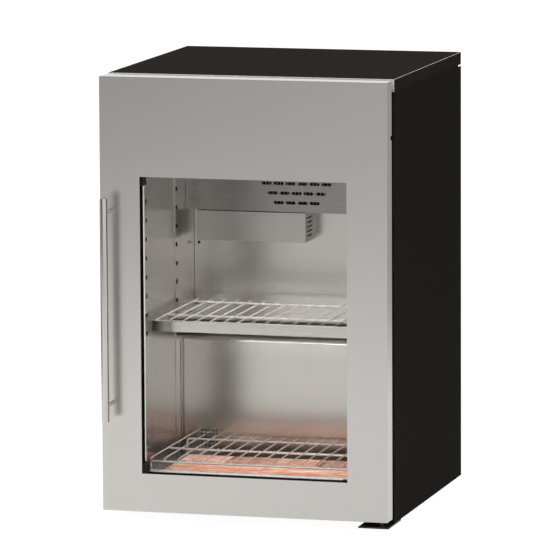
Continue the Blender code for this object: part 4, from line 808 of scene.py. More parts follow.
def make_casing():
    """Dresses the black casing, its lid with the steel edge, a painted highlight along the lid's side edges,
    painted shade in the lid's joint, and the sheets at the back.
    """
    x, y, z = spans("top_panel")
    lid = rounded_box(x, y, z, sizes().lid_edge)
    piece("lid", lid, finish("lid_powder_coat"), "top_panel", weighted=True)
    # A dark strip in the gap under the lid's side edges: painted shade in the joint
    shade_and_seam_strips("lid_joint", [(about(side, SEAM), grown(y, -0.002), about(z[0], 0.002))
                          for side in grown(x, -0.0007)])
    # Thin bright wires along the lid's top side edges: a painted highlight for the lit edge line
    highlight_wires = bmesh.new()
    inset = LID_HIGHLIGHT_WIRE / 2 + 0.0001
    for side in grown(x, -inset):
        add_wire(highlight_wires, [(side, end, z[1] - inset) for end in grown(y, -0.001)], LID_HIGHLIGHT_WIRE)
    piece("lid_rims", highlight_wires, finish("bright_wire"), **STEEL_EXTRA)
    trim = rounded_box(*spans("top_edge_trim"), sizes().sheet_edge * 1.6)
    piece("lid_edge_trim", trim, finish("bright_wire"), "top_edge_trim", weighted=True)
    for node in ("side_panel_left", "side_panel_right", "back_panel", "base_pan", "front_frame"):
        eased(node, finish("black_powder_coat"), sizes().sheet_edge)
    for node in ("insulation_foam", "door_foam"):
        frame["nodes"][node].material_slots[0].material = finish("insulation_foam")


def screw_shape(diameter):
    """Makes a low domed screw head with a cross recess, standing on Z = 0."""
    radius, height, sink = diameter / 2, diameter * 0.3, -0.0004
    profile = [(0, sink), (radius, sink), (radius, height * 0.3), (radius * 0.9, height * 0.65),
               (radius * 0.6, height * 0.93), (0, height)]
    long, short, deep = about(0, diameter * 0.62), about(0, diameter * 0.13), (height * 0.45, height * 2)
    head = turned(profile, (0, 0, 0), (0, 0, 1), 20)
    return carved(head, [boxed(short, long, deep), boxed(long, short, deep)])


def make_back_screws():
    """Sets the screws that hold the back panel and the grille."""
    x, y, z = spans("back_panel")
    sides = grown(x, -0.010)
    levels = [z[0] + 0.012 + step * (z[1] - z[0] - 0.026) / 3 for step in range(4)]
    low, high = spans("machine_grille")[2]
    places = [(across, level) for across in sides for level in levels]
    places += [(across, level) for across in SCREW_ACROSS for level in (levels[0], levels[-1])]
    places += [(across, level) for across in sides for level in (low + 0.012, high - 0.012)]
    places += [(across, high - 0.010) for across in (SCREW_ACROSS[0], SCREW_ACROSS[-1])]
    head = screw_shape(sizes().screw_head)
    shape = bmesh.new()
    facing = Vector((0, 1, 0)).to_track_quat("Z", "Y").to_matrix().to_4x4()
    for index, (across, level) in enumerate(places):
        turn = Matrix.Rotation(0.7 * index, 4, "Z")
        add_shape(shape, head, Matrix.Translation((across, y[1], level)) @ facing @ turn)
    head.free()
    piece("back_screws", shape, steel("X", True), **STEEL_EXTRA)


# The door

def make_door_skin():
    """Makes the folded stainless skin with its rounded folds and corner seams."""
    x, y, z = spans("door_skin")
    wide, tall = window()
    fold, edge, back = sizes().door_fold, sizes().sheet_edge, y[0] + DOOR_SHEET

    def around(across, upward, out, depth, radius):
        return rounded_loop(grown(across, out), grown(upward, out), depth, radius)

    loops = [around(wide, tall, 0, back, edge), around(wide, tall, 0, y[0] + edge, edge),
             around(wide, tall, edge * 0.3, y[0] + edge * 0.3, edge * 1.3),
             around(wide, tall, edge, y[0], edge * 2)]
    for angle in quarter(6):
        inset = fold * (1 - math.sin(angle))
        loops.append(around(x, z, -inset, y[0] + fold * (1 - math.cos(angle)),
                            max(LEAST_CORNER, DOOR_CORNER - inset)))
    loops += [around(x, z, 0, y[1] - edge, DOOR_CORNER), around(x, z, -edge, y[1], 0.0014),
              around(x, z, -DOOR_SHEET, y[1], 0.0010), around(x, z, -DOOR_SHEET, back, 0.0010)]
    skin = ring_shape(loops)
    bmesh.ops.recalc_face_normals(skin, faces=skin.faces)
    bore = bmesh.new()
    add_rod(bore, *((*hinge_axis(), level) for level in about(z[0], 0.008)), HINGE_BORE)
    cutters = [arm_pocket(), bore]
    for side in x:
        for level in (z[1] - DOOR_SEAM_INSET, z[0] + DOOR_SEAM_INSET):
            cutters.append(boxed(about(side, DOOR_SEAM[0]), (y[0] + fold * 1.5, y[1] + 0.002),
                                 about(level, DOOR_SEAM[1])))
    piece("door_folded_skin", carved(skin, cutters), steel("Z"), "door_skin", weighted=True)
    eased("door_inner_panel", steel("Z", True), sizes().sheet_edge)


def hinge_axis():
    """Gives the X and Y of the door's hinge axis."""
    x, y, _ = spans("hinge_bush_lower")
    return middle(x), middle(y)


def arm_pocket():
    """Makes the cutter of the notch that the upper hinge arm stands in."""
    door_x, door_y, _ = spans("door_skin")
    axis_x, axis_y = hinge_axis()
    low, high = POCKET_LEVEL
    side, rear = door_x[1] + 0.004, door_y[1] + 0.004
    outline = ((axis_x - 0.006, axis_y - 0.005), (axis_x + 0.005, axis_y - 0.005),
               (door_x[1] - DOOR_SHEET * 2, NOTCH_FRONT - 0.002), (side, NOTCH_FRONT), (side, rear),
               (axis_x - 0.024, rear))
    return prism([(across, depth, low) for across, depth in outline], (0, 0, high - low))


def make_glazing():
    """Makes the panes, their black spacer with its corner keys and the bead behind them."""
    for node in ("glass_outer", "glass_inner"):
        frame["nodes"][node].material_slots[0].material = glass()
    wide, tall = window()
    y = spans("glass_spacer")[1]
    profile = [(0.0, y[0]), (0.0, y[0] + 0.002), (0.0012, y[0] + 0.003), (0.0012, y[1] - 0.003),
               (0.0, y[1] - 0.002), (0.0, y[1]), (PANE_EDGE - 0.0003, y[1]), (PANE_EDGE - 0.0003, y[0])]
    piece("pane_spacer", framed(wide, tall, profile, 0.0006), finish("deep_black"), "glass_spacer")
    for name, across, upward in CORNER_KEYS:
        side, level = wide["right" in name], tall["top" in name]
        key = fine_box((side + across[0], side + across[1]), grown(y, -0.0006),
                       (level + upward[0], level + upward[1]), 0.0012, 0.004)
        piece("corner_key_" + name, key, finish("black_rubber"), body="door", slot="black_plastic")
    y = spans("glazing_bead")[1]
    profile = [(BEAD_LIP, y[0]), (0.0, y[0] + 0.0034), (0.0, y[1] - 0.0016), (0.0006, y[1] - 0.0004),
               (0.0018, y[1]), (PANE_EDGE, y[1]), (PANE_EDGE, y[0])]
    inner = framed(grown(wide, 0.0012), (tall[0] + BEAD_LIP, tall[1] - 0.0006), profile, 0.0008)
    piece("bead_strip", inner, finish("bright_wire"), "glazing_bead", weighted=True)


def make_gasket():
    """Makes the magnetic gasket with its dart, bellows and flat face."""
    x, y, z = spans("door_gasket")
    profile = [(out, y[0] + (y[1] - y[0]) * share) for out, share in GASKET_OUTLINE]
    piece("door_seal", framed(grown(x, -0.016), grown(z, -0.016), profile, 0.004), finish("black_rubber"),
          "door_gasket")


def make_handle():
    """Makes the bar handle with softened ends and its two slim standoffs."""
    x, y, z = spans("handle")
    radius, soft, length = HANDLE_DIAMETER / 2, sizes().handle_end, z[1] - z[0]
    centre_x, bar_y = middle(x), y[0] + radius
    profile = [(0, 0)] + [(radius - soft * (1 - math.sin(angle)), soft * (1 - math.cos(angle)))
                          for angle in quarter(5)]
    profile += [(across, length - up) for across, up in reversed(profile)]
    shape = turned(profile, (centre_x, bar_y, z[0]), (0, 0, 1), 48)
    post, reach = STANDOFF_DIAMETER / 2, y[1] - bar_y
    stem = [(0, 0), (post, 0), (post, reach - 0.0009), (post - 0.0003, reach - 0.0005),
            (post - 0.0003, reach), (0, reach)]
    for level in grown(z, -STANDOFF_INSET):
        add_shape(shape, turned(stem, (centre_x, bar_y, level), (0, 1, 0), 32))
    piece("bar_handle", shape, steel("Z", True), "handle")


def make_hinges():
    """Makes both hinge plates and their bushes with softened edges."""
    eased("hinge_plate_lower", finish("black_shell_paint"), sizes().sheet_edge * 1.5)
    eased("hinge_plate_upper", steel("Z", True), sizes().sheet_edge)
    for node in ("hinge_bush_lower", "hinge_bush_upper"):
        eased(node, finish("grey_plastic"), sizes().sheet_edge)


# Inside the cavity

def make_liner():
    """Makes the stepped liner with its bends and soft corners, its probe guard with a dark strip of painted
    shade behind the holes, and the wall caps.
    """
    x, y, z = spans("inner_liner")
    inner_x, (floor, ceiling) = grown(x, -LINER_SHEET), grown(z, -LINER_SHEET)
    rear, front = y[1] - LINER_SHEET, y[0]
    outline = [(front, floor), (LOWER_REAR, floor)]
    for angle in quarter(16):
        outline.append((LOWER_REAR + STEP_BEND * (1 - math.cos(angle)),
                        STEP_TOP - STEP_BEND * (1 - math.sin(angle))))
    outline += [(rear, STEP_TOP), (rear, ceiling), (front, ceiling)]
    shape = bmesh.new()
    rows = [[shape.verts.new((across, depth, level)) for depth, level in outline] for across in inner_x]
    for near, far, far_next, near_next in zip(*rows, rows[1][1:], rows[0][1:]):
        shape.faces.new((near, far, far_next, near_next))
    for row in rows:
        shape.faces.new(row)
    corners = [edge for edge in shape.edges
               if edge.is_manifold and edge.calc_face_angle() > math.radians(60)]
    bmesh.ops.bevel(shape, geom=corners, offset=sizes().liner_corner, segments=4, profile=0.5,
                    affect="EDGES")
    bmesh.ops.recalc_face_normals(shape, faces=shape.faces)
    shell = linked("blank", shape)
    thick = shell.modifiers.new("Sheet", "SOLIDIFY")
    thick.thickness, thick.offset, thick.use_even_offset = LINER_SHEET, 1.0, True
    holes = bmesh.new()
    guard_x, guard_z = inner_x[0] + GUARD_PLACE[0], floor + GUARD_PLACE[1]
    for row, count in enumerate(GUARD_ROWS):
        level = guard_z + (row - 2) * GUARD_PITCH
        for column in range(count):
            across = guard_x + (column - (count - 1) / 2) * GUARD_PITCH
            add_rod(holes, *((across, depth, level) for depth in about(LOWER_REAR, 0.008)), GUARD_HOLE, 12)
    sheet = brushed("liner_steel", ALONG["X"], 0.22, tone=0.008, spread=0.02)
    piece("cavity_liner", carved(settled(shell), [holes]), sheet, "inner_liner", weighted=True)
    # A dark strip behind the guard's holes: painted shade in the wall
    shade_and_seam_strips("probe_guard_screen", [(about(guard_x, 0.044), (LOWER_REAR + 0.0006, LOWER_REAR + 0.0009),
                                    about(guard_z, 0.044))])
    for number, level in enumerate(CAP_LEVELS, 1):
        cap = turned(CAP_PROFILE, (CAP_ACROSS, rear, level), (0, -1, 0), 20)
        piece(f"wall_cap_{number}", cap, finish("black_rubber"), **DARK_BACK)


def make_liner_seams():
    """Makes the dark sealed seams in the rear corners of the cavity."""
    x, y, z = spans("inner_liner")
    inset = SEAM / 2 - SEAM_SINK
    walls = ((LOWER_REAR, (z[0] + LINER_SHEET, STEP_TOP - STEP_BEND)),
             (y[1] - LINER_SHEET, (STEP_TOP, z[1] - LINER_SHEET)))
    strips = [(about(side, SEAM), about(rear - inset, SEAM), upward)
              for side in grown(x, -LINER_SHEET - inset) for rear, upward in walls]
    shade_and_seam_strips("corner_seams", strips, "black_rubber", SEAM / 4)


def make_cavity_fittings():
    """Dresses the uprights, the runners and the shelf's front channel."""
    eased("shelf_trim", steel("X", True), sizes().sheet_edge / 2)
    for node in ("runner_left", "runner_right"):
        eased(node, steel("Y", True), sizes().sheet_edge)
    for place in CORNERS:
        node = "upright_" + place
        x, y, z = spans(node)
        face = x[1] if x[0] < 0 else x[0]
        width = UPRIGHT_SLOT[0] * (FRONT_SLOT_SHARE if "front" in place else 1.0)
        cutters = []
        level = z[0] + FIRST_SLOT
        while level < z[1] - UPRIGHT_SLOT[1]:
            if level > LOWEST_SLOT:
                cutters.append(boxed(about(face, 0.006), about(middle(y), width),
                                     about(level, UPRIGHT_SLOT[1])))
            level += UPRIGHT_PITCH
        strip = rounded_box(x, y, z, sizes().sheet_edge / 2, 2)
        piece(node + "_strip", carved(strip, cutters), steel("Z", True), node, weighted=True)


def make_slot_shade_strips():
    """Makes dark strips of painted shade behind the slots of the uprights."""
    strips = []
    for place in CORNERS:
        x, y, z = spans("upright_" + place)
        depth = x[1] - 0.00125 if x[0] < 0 else x[0] + 0.00125
        strips.append((about(depth, 0.0003), grown(y, -0.0014), grown(z, -0.0014)))
    shade_and_seam_strips("slot_backings", strips)


def slot_cutter(x, y, z):
    """Makes the cutter of one round-ended slot through an upright sheet."""
    radius = (z[1] - z[0]) / 2
    outline = []
    for end, start in ((x[1] - radius, -math.pi / 2), (x[0] + radius, math.pi / 2)):
        for angle in (start + math.pi * step / 8 for step in range(9)):
            outline.append((end + radius * math.cos(angle), y[0], middle(z) + radius * math.sin(angle)))
    return prism(outline, (0, y[1] - y[0], 0))


def make_air_panel():
    """Makes the slotted air panel with its flange in steel darkened as painted shade, and a dark strip of
    painted shade behind its slots.
    """
    x, y, z = spans("air_panel")
    sheet = (y[0], y[0] + LINER_SHEET)
    cutters = [boxed(grown(x, 0.01), (sheet[1], y[1] + 0.01), (z[0] + LINER_SHEET, z[1] + 0.01))]
    for row, count in enumerate(VENT_ROWS):
        upward = about(z[0] + VENT_FROM_BOTTOM + row * VENT_PITCH[1], VENT_SIZE[1])
        for column in range(count):
            across = about((column - (count - 1) / 2) * VENT_PITCH[0], VENT_SIZE[0])
            cutters.append(slot_cutter(across, grown(sheet, 0.002), upward))
    # The panel's steel is darkened to about half as painted shade
    piece("air_panel_sheet", carved(rounded_box(x, y, z, sizes().sheet_edge, 2), cutters),
          brushed("shaded_steel_0.54", ALONG["X"], 0.28, 0.54), "air_panel", weighted=True)
    # A dark strip behind the vents: painted shade inside the duct
    shade_and_seam_strips("air_panel_screen", [(about(0, VENT_PITCH[0] * 7), (sheet[1] + 0.0022, sheet[1] + 0.0028),
                                  (z[0] + 0.008, z[0] + 0.072))])


def make_fan_cover():
    """Makes the fan cover with louvres in both ends, its steel darkened as painted shade, and dark strips of
    painted shade behind the louvres.
    """
    x, y, z = spans("fan_cover")
    cutters = [boxed(grown(x, -LINER_SHEET), (y[0] + LINER_SHEET, y[1] + 0.01),
                     (z[0] + LINER_SHEET, z[1] + 0.01))]
    for side in x:
        for row in range(LOUVRE_COUNT):
            level = middle(z) + (row - (LOUVRE_COUNT - 1) / 2) * LOUVRE_PITCH
            cutters.append(boxed(about(side, 0.006), about(middle(y), LOUVRE_SIZE[0]),
                                 about(level, LOUVRE_SIZE[1])))
    # The cover's steel is darkened as painted shade
    piece("fan_cover_sheet", carved(rounded_box(x, y, z, sizes().sheet_edge * 2, 2), cutters),
          brushed("shaded_steel_0.82", ALONG["X"], 0.28, 0.82), "fan_cover", weighted=True)
    # Dark strips inside both ends: painted shade behind the louvres
    shade_and_seam_strips("fan_cover_screens", [(about(side, 0.0004), about(middle(y), 0.046), grown(z, -0.004))
                                  for side in grown(x, -0.0016)])


def make_racks():
    """Makes both wire racks with round wires, domed ends and bent legs."""
    sides = sizes().wire_sides
    for name, shares in (("upper", UPPER_CROSS_SHARES), ("lower", LOWER_CROSS_SHARES)):
        x, y, z = spans(name + "_rack")
        top, low = z[1] - THIN_WIRE / 2, z[0] + THICK_WIRE / 2
        path = [(y[0], top), (y[1], top)]
        if name == "lower":
            path = [(y[0], top - RACK_DROP), (y[0] + RACK_DROP_SHARE * (y[1] - y[0]), top), (y[1], top)]
        first, last = grown(x, -THIN_WIRE / 2)
        shape = bmesh.new()
        for step in range(RACK_WIRES):
            across = first + (last - first) * step / (RACK_WIRES - 1)
            add_wire(shape, bent([(across, depth, level) for depth, level in path], RACK_DROP_BEND, 4),
                     THIN_WIRE, sides)
        for share in shares:
            depth = y[0] + share * (y[1] - y[0])
            add_wire(shape, [(side, depth, low) for side in x], THICK_WIRE, sides)
        piece(name + "_wire_rack", shape, finish("bright_wire"), name + "_rack")
    for node in ("lower_rack_front_frame", "lower_rack_rear_frame"):
        x, y, z = spans(node)
        bar, (left, right) = z[1] - THICK_WIRE / 2, grown(x, -THICK_WIRE / 2)
        path = [(across, middle(y), level)
                for across, level in ((left, z[0]), (left, bar), (right, bar), (right, z[0]))]
        shape = bmesh.new()
        add_wire(shape, bent(path, sizes().wire_bend), THICK_WIRE, sides)
        piece(node + "_wire", shape, finish("bright_wire"), node)


def make_salt_bed():
    """Makes the salt bricks, uneven and marbled, and dresses their tray."""
    eased("salt_tray", steel("X", True), sizes().sheet_edge)
    edge, chips = sizes().brick_edge, sizes().brick_chips
    for number in range(1, 7):
        node = f"salt_brick_{number}"
        x, y, z = spans(node)
        shape = fine_box(x, y, z, edge, BRICK_FACE)
        centre = Vector((middle(x), middle(y), middle(z)))
        for vert in shape.verts:
            rise = noise.noise(vert.co * 55) * 0.6 + noise.noise(vert.co * 170) * 0.4
            rim = sum(abs(vert.co[axis] - end) < edge * 1.1
                      for axis, span in enumerate((x, y, z)) for end in span)
            depth = chips * (0.5 + rise) * (0.5 if rim < 2 else 1.4)
            vert.co += (centre - vert.co).normalized() * max(0.0, depth)
        tone = SLOT_OF[node].split("_")[1]
        piece(f"salt_slab_{number}", shape, salt(tone, number), node)


def make_cooling():
    """Makes the evaporator with its fins and bends and dresses the circulation fan behind the cover."""
    finned_coil("evaporator_fins", "evaporator_coil", "X", 48, 2)
    eased("fan_motor", finish("black_plastic"), sizes().sheet_edge)
    eased("circulation_rotor", finish("grey_plastic"), sizes().sheet_edge)


def finned_coil(name, node, stacked, count, rows):
    """Makes thin fins, stacked along an axis, on two columns of tubes that turn back at the ends."""
    x, y, z = spans(node)
    span, across = (x, y) if stacked == "X" else (y, x)
    low, high = grown(span, -0.006)
    shape = bmesh.new()
    for index in range(count):
        fin = about(low + (high - low) * index / (count - 1), 0.0002)
        add_box(shape, *((fin, y, z) if stacked == "X" else (x, fin, z)))
    levels = [z[0] + (z[1] - z[0]) * (row + 0.5) / rows for row in range(rows)]
    places = [across[0] + (across[1] - across[0]) * share for share in COIL_COLUMNS]

    def tube(*ends):
        path = [(along, place, level) if stacked == "X" else (place, along, level)
                for along, place, level in ends]
        add_wire(shape, path, COIL_TUBE, 10)

    for place in places:
        for level in levels:
            tube((span[0] + 0.001, place, level), (span[1] - 0.001, place, level))
    for step, level in enumerate(levels):
        end = span[0] + 0.0045 if step % 2 else span[1] - 0.0045
        tube((end, places[0], level), (end, places[-1], level))
    piece(name, shape, finish("coil_aluminium"), node)


# The machine compartment, the controls and the feet

def make_machine():
    """Makes the compressor, condenser, pipes, shroud, fan, rear grille and power inlet."""
    x, y, z = spans("compressor")
    centre_x, centre_y = middle(x), middle(y)
    radius = min(x[1] - x[0], 0.128) / 2
    wall, dome = radius * 0.985, z[1] - z[0] - 0.100
    profile = [(0, 0.016), (radius * 0.70, 0.016), (radius * 0.9, 0.024), (wall, 0.044), (wall, 0.070),
               (radius, 0.071), (radius, 0.075), (wall, 0.076)]
    profile += [(wall * math.cos(angle), 0.100 + dome * math.sin(angle)) for angle in quarter(8)]
    shape = turned(profile, (centre_x, centre_y, z[0]), (0, 0, 1), 48)
    add_shape(shape, fine_box(x, y, (z[0] + 0.014, z[0] + 0.017), 0.0012, 0.02))
    foot = [(0, 0), (0.010, 0), (0.0085, 0.005), (0.010, 0.0135), (0.006, 0.0165), (0, 0.0165)]
    for foot_x in grown(x, -0.013):
        for foot_y in grown(y, -0.013):
            add_shape(shape, turned(foot, (foot_x, foot_y, z[0]), (0, 0, 1), 20))
    add_shape(shape, fine_box((x[0] + 0.004, x[0] + 0.022), about(centre_y, 0.044),
                              (z[0] + 0.040, z[0] + 0.100), 0.003, 0.01))
    piece("compressor_shell", shape, finish("black_shell_paint"), "compressor")

    finned_coil("condenser_fins", "condenser_coil", "Y", 40, 3)
    coil_x, _, coil_z = spans("condenser_coil")
    head, pipe_x = z[0] + 0.110, coil_x[1] - 0.01
    routes = ((0.006, centre_y - 0.040, ((centre_x - 0.02, head), (centre_x - 0.02, head + 0.06),
                                         (pipe_x, head + 0.06), (pipe_x, coil_z[1] - 0.02))),
              (0.008, centre_y - 0.045, ((centre_x + 0.02, head - 0.01), (centre_x + 0.02, head + 0.085),
                                         (centre_x - 0.10, head + 0.085), (centre_x - 0.10, head + 0.125))))
    pipes = bmesh.new()
    for diameter, depth, route in routes:
        add_wire(pipes, bent([(across, depth, level) for across, level in route], PIPE_BEND), diameter, 12)
    piece("refrigerant_pipes", pipes, finish("copper_pipe"), body="cabinet", slot="coil_aluminium")
    eased("fan_shroud", finish("black_plastic"), sizes().sheet_edge * 2)
    eased("condenser_rotor", finish("grey_plastic"), sizes().sheet_edge)
    eased("machine_grille", finish("black_powder_coat"), sizes().sheet_edge)
    make_inlet()


def make_inlet():
    """Makes the power inlet's body with its three flat pins."""
    eased("power_inlet", finish("black_plastic"), sizes().sheet_edge)
    x, y, z = spans("power_inlet")
    pins = bmesh.new()
    for off_x, off_z in ((-0.007, -0.0022), (0.007, -0.0022), (0.0, 0.0022)):
        add_shape(pins, rounded_box(about(middle(x) + off_x, 0.002), (y[1] - 0.0145, y[1] - 0.003),
                                    about(middle(z) + off_z, 0.004), 0.0004, 2))
    piece("inlet_pins", pins, steel("Y", True), **STEEL_EXTRA)


def make_controls():
    """Makes the control strip behind the door's upper part: fascia, display, buttons and rocker."""
    eased("control_fascia", finish("black_powder_coat"), sizes().sheet_edge)
    piece("display_cover", rounded_box(*spans("display_window"), 0.0006), finish("display_glass"),
          "display_window", weighted=True)
    for node, up in (("button_up", 1), ("button_down", -1)):
        x, y, z = spans(node)
        radius, length = (x[1] - x[0]) / 2, y[1] - y[0]
        profile = [(0, 0), (radius * 0.9, 0), (radius, 0.0006), (radius, length - 0.0012),
                   (radius - 0.0004, length - 0.0004), (radius - 0.0012, length),
                   (radius * 0.5, length - 0.0005), (0, length - 0.0007)]
        shape = turned(profile, (middle(x), y[1], middle(z)), (0, -1, 0), 40)
        mark = [(middle(x) + across, y[0] - 0.001, middle(z) + level * up) for across, level in BUTTON_MARK]
        piece(node + "_cap", carved(shape, [prism(mark, (0, 0.0021, 0))]), finish("grey_plastic"), node)
    x, y, z = spans("power_switch")
    shape = fine_box(x, y, z, 0.0008, 0.0015)
    for vert in shape.verts:
        if vert.co.y < y[0] + 0.0012:
            share = (vert.co.z - middle(z)) / ((z[1] - z[0]) / 2)
            vert.co.y += ROCKER_DIP * (1 - share * share)
    piece("power_rocker", shape, finish("grey_plastic"), "power_switch")


def make_feet():
    """Makes the four levelling feet with finger flats round their pads."""
    for place in CORNERS:
        node = "foot_" + place
        x, y, z = spans(node)
        radius = (x[1] - x[0]) / 2
        profile = [(0, 0), (radius - 0.0012, 0), (radius, 0.001), (radius, 0.0030),
                   (radius - 0.0008, 0.0042), (radius - 0.003, 0.005), (0.0086, 0.0054), (0.008, 0.006),
                   (0.008, 0.0114), (0.0046, 0.0117)]
        level = 0.0122
        while level < z[1] - FOOT_THREAD:
            profile += [(0.0046, level), (0.0050, level + FOOT_THREAD / 2)]
            level += FOOT_THREAD
        profile += [(0.0044, z[1] - 0.0002), (0.0040, z[1]), (0, z[1])]
        shape = turned(profile, (middle(x), middle(y), 0), (0, 0, 1), 36)
        for vert in shape.verts:
            off = vert.co - Vector((middle(x), middle(y), vert.co.z))
            if off.length > radius - 0.002 and vert.co.z > 0.0008:
                turn = math.atan2(off.y, off.x)
                vert.co -= off.normalized() * 0.0009 * max(0.0, math.cos(turn * FOOT_GRIPS))
        piece(node + "_pad", shape, finish("black_plastic"), node)


# The studio

def make_stage():
    """Makes the floor, the air, the lights and the camera."""
    tones = colours()
    (left, right), (front, rear) = FLOOR_SPAN
    shape = bmesh.new()
    corners = ((left, front), (right, front), (right, rear), (left, rear))
    shape.faces.new([shape.verts.new((across, depth, 0)) for across, depth in corners])
    floor = linked("studio_floor", shape)
    floor.data.materials.append(floor_finish(tones))
    make_air(tones)
    for name, power, size, place, target in LAMPS:
        lamp = add_lamp(name, getattr(tones, power), size, place, target)
    lamp.data.shape, lamp.data.size_y, lamp.data.spread = "RECTANGLE", GLOW_HEIGHT, math.radians(GLOW_SPREAD)
    lamp.visible_glossy, lamp.visible_diffuse = True, False
    camera = bpy.data.cameras.new("photo_camera")
    camera.lens, camera.sensor_width = CAMERA_LENS, 36.0
    camera.clip_start, camera.clip_end = 0.1, 100.0
    seen = bpy.data.objects.new("photo_camera", camera)
    seen.location = CAMERA_PLACE
    seen.rotation_euler = [math.radians(turn) for turn in CAMERA_TURN]
    bpy.context.scene.collection.objects.link(seen)
    bpy.context.scene.camera = seen
    bpy.context.scene.view_settings.view_transform = "Standard"


def floor_finish(tones):
    """Gives the pale floor, which shows white to the camera, gloss and glass but keeps the shadow."""
    made = bpy.data.materials.new("studio_floor")
    made.use_nodes = True
    tree = made.node_tree
    shader = tree.nodes["Principled BSDF"]
    place = spot(tree)
    shade = shaded(tree, cloud(tree, place, 1.5, 3.0), 0.01)
    fill(tree, shader, {"Base Color": tinted(tree, tones.floor, shade), "Roughness": 0.9,
                        "Specular IOR Level": 0.0})
    parts = put(tree, "ShaderNodeSeparateXYZ", {0: place}).outputs
    far = ranged(tree, parts["X"], (-2.4, -1.3), (tones.front_air - 0.03, tones.front_air + 0.21))
    near = ranged(tree, parts["X"], (-0.5, 0.2), (1.0, 0.88))
    front = ranged(tree, parts["Y"], (-4.6, -1.7), (far, near), "SMOOTHSTEP")
    aside = ranged(tree, parts["X"], (0.2, 0.7), (0.0, 1.0))
    behind = ranged(tree, parts["Y"], (1.3, 2.9), (0.0, 1.0))
    fade = ranged(tree, maths(tree, "MULTIPLY", aside, behind), (0.0, 1.0), (front, tones.side_air))
    left = ranged(tree, parts["X"], (-2.0, -1.2), (1.0, 0.0))
    beside = ranged(tree, parts["Y"], (-1.9, -0.9), (0.0, 1.0))
    fade = ranged(tree, maths(tree, "MULTIPLY", left, beside), (0.0, 1.0), (fade, tones.left_air))
    path = put(tree, "ShaderNodeLightPath").outputs
    bright = maths(tree, "MAXIMUM", fade, maths(tree, "MULTIPLY", path["Is Camera Ray"], 1.08))
    white = put(tree, "ShaderNodeEmission", {"Color": (1, 1, 1, 1), "Strength": bright}).outputs[0]
    seen = maths(tree, "MAXIMUM", path["Is Camera Ray"], maths(tree, "MAXIMUM", path["Is Glossy Ray"],
                                                             path["Is Transmission Ray"]))
    mixed = put(tree, "ShaderNodeMixShader", {0: maths(tree, "MULTIPLY", seen, 0.90), 1: shader.outputs[0],
                                             2: white}).outputs[0]
    fill(tree, tree.nodes["Material Output"], {"Surface": mixed})
    return made


def make_air(tones):
    """Makes the even light of the air, white where the camera and glass look, softer in front."""
    world = bpy.data.worlds.new("studio_air")
    world.use_nodes = True
    tree = world.node_tree
    even = tree.nodes["Background"]
    fill(tree, even, {"Color": (1, 1, 1, 1), "Strength": tones.ambient})
    heading = put(tree, "ShaderNodeTexCoord").outputs["Generated"]
    parts = put(tree, "ShaderNodeSeparateXYZ", {0: heading}).outputs
    front = ranged(tree, parts["X"], (-0.45, -0.05), (tones.front_air - 0.25, 0.9))
    back = ranged(tree, parts["X"], (-0.05, 0.12), (1.0, tones.side_air))
    behind = ranged(tree, parts["Y"], (-0.35, 0.3), (front, back))
    path = put(tree, "ShaderNodeLightPath").outputs
    tone = maths(tree, "MAXIMUM", path["Is Camera Ray"], behind)
    shown = put(tree, "ShaderNodeBackground", {"Color": (1, 1, 1, 1), "Strength": tone}).outputs[0]
    seen = maths(tree, "MAXIMUM", path["Is Camera Ray"], path["Is Glossy Ray"])
    seen = maths(tree, "MAXIMUM", seen, path["Is Transmission Ray"])
    mixed = put(tree, "ShaderNodeMixShader", {0: seen, 1: even.outputs[0], 2: shown}).outputs[0]
    fill(tree, tree.nodes["World Output"], {"Surface": mixed})
    bpy.context.scene.world = world


def add_lamp(name, power, size, place, target):
    """Adds a large square light at a place, turned towards a target."""
    lamp = bpy.data.lights.new(name, "AREA")
    lamp.energy, lamp.size = power, size
    made = bpy.data.objects.new(name, lamp)
    made.location = place
    made.rotation_euler = (Vector(target) - Vector(place)).to_track_quat("-Z", "Y").to_euler()
    made.visible_camera = made.visible_glossy = made.visible_transmission = False
    bpy.context.scene.collection.objects.link(made)
    return made


class BuildCasing(Operator):
    """Dress the black casing, its lid and the sheets at the back"""

    bl_idname = "cabinet.casing"
    bl_label = "Casing"

    def execute(self, context):
        make_casing()
        make_back_screws()
        return {"FINISHED"}


class BuildDoorSkin(Operator):
    """Make the door's folded stainless skin and its inner panel"""

    bl_idname = "cabinet.door_skin"
    bl_label = "Door Skin"

    def execute(self, context):
        make_door_skin()
        return {"FINISHED"}


class BuildGlazing(Operator):
    """Make the panes, their spacer, corner keys and bead"""

    bl_idname = "cabinet.glazing"
    bl_label = "Glazing"

    def execute(self, context):
        make_glazing()
        return {"FINISHED"}


class BuildGasket(Operator):
    """Make the magnetic gasket on the back of the door"""

    bl_idname = "cabinet.gasket"
    bl_label = "Gasket"

    def execute(self, context):
        make_gasket()
        return {"FINISHED"}


class BuildHandle(Operator):
    """Make the bar handle and its standoffs"""

    bl_idname = "cabinet.handle"
    bl_label = "Handle"

    def execute(self, context):
        make_handle()
        return {"FINISHED"}


class BuildHinges(Operator):
    """Make the hinge plates and bushes"""

    bl_idname = "cabinet.hinges"
    bl_label = "Hinges"

    def execute(self, context):
        make_hinges()
        return {"FINISHED"}


class BuildLiner(Operator):
    """Make the stepped liner, its probe guard and wall caps"""

    bl_idname = "cabinet.liner"
    bl_label = "Liner"

    def execute(self, context):
        make_liner()
        make_liner_seams()
        return {"FINISHED"}


class BuildFittings(Operator):
    """Dress the air panel, fan cover, uprights, runners and shelf channel"""

    bl_idname = "cabinet.fittings"
    bl_label = "Cavity Fittings"

    def execute(self, context):
        make_cavity_fittings()
        make_air_panel()
        make_fan_cover()
        make_slot_shade_strips()
        return {"FINISHED"}


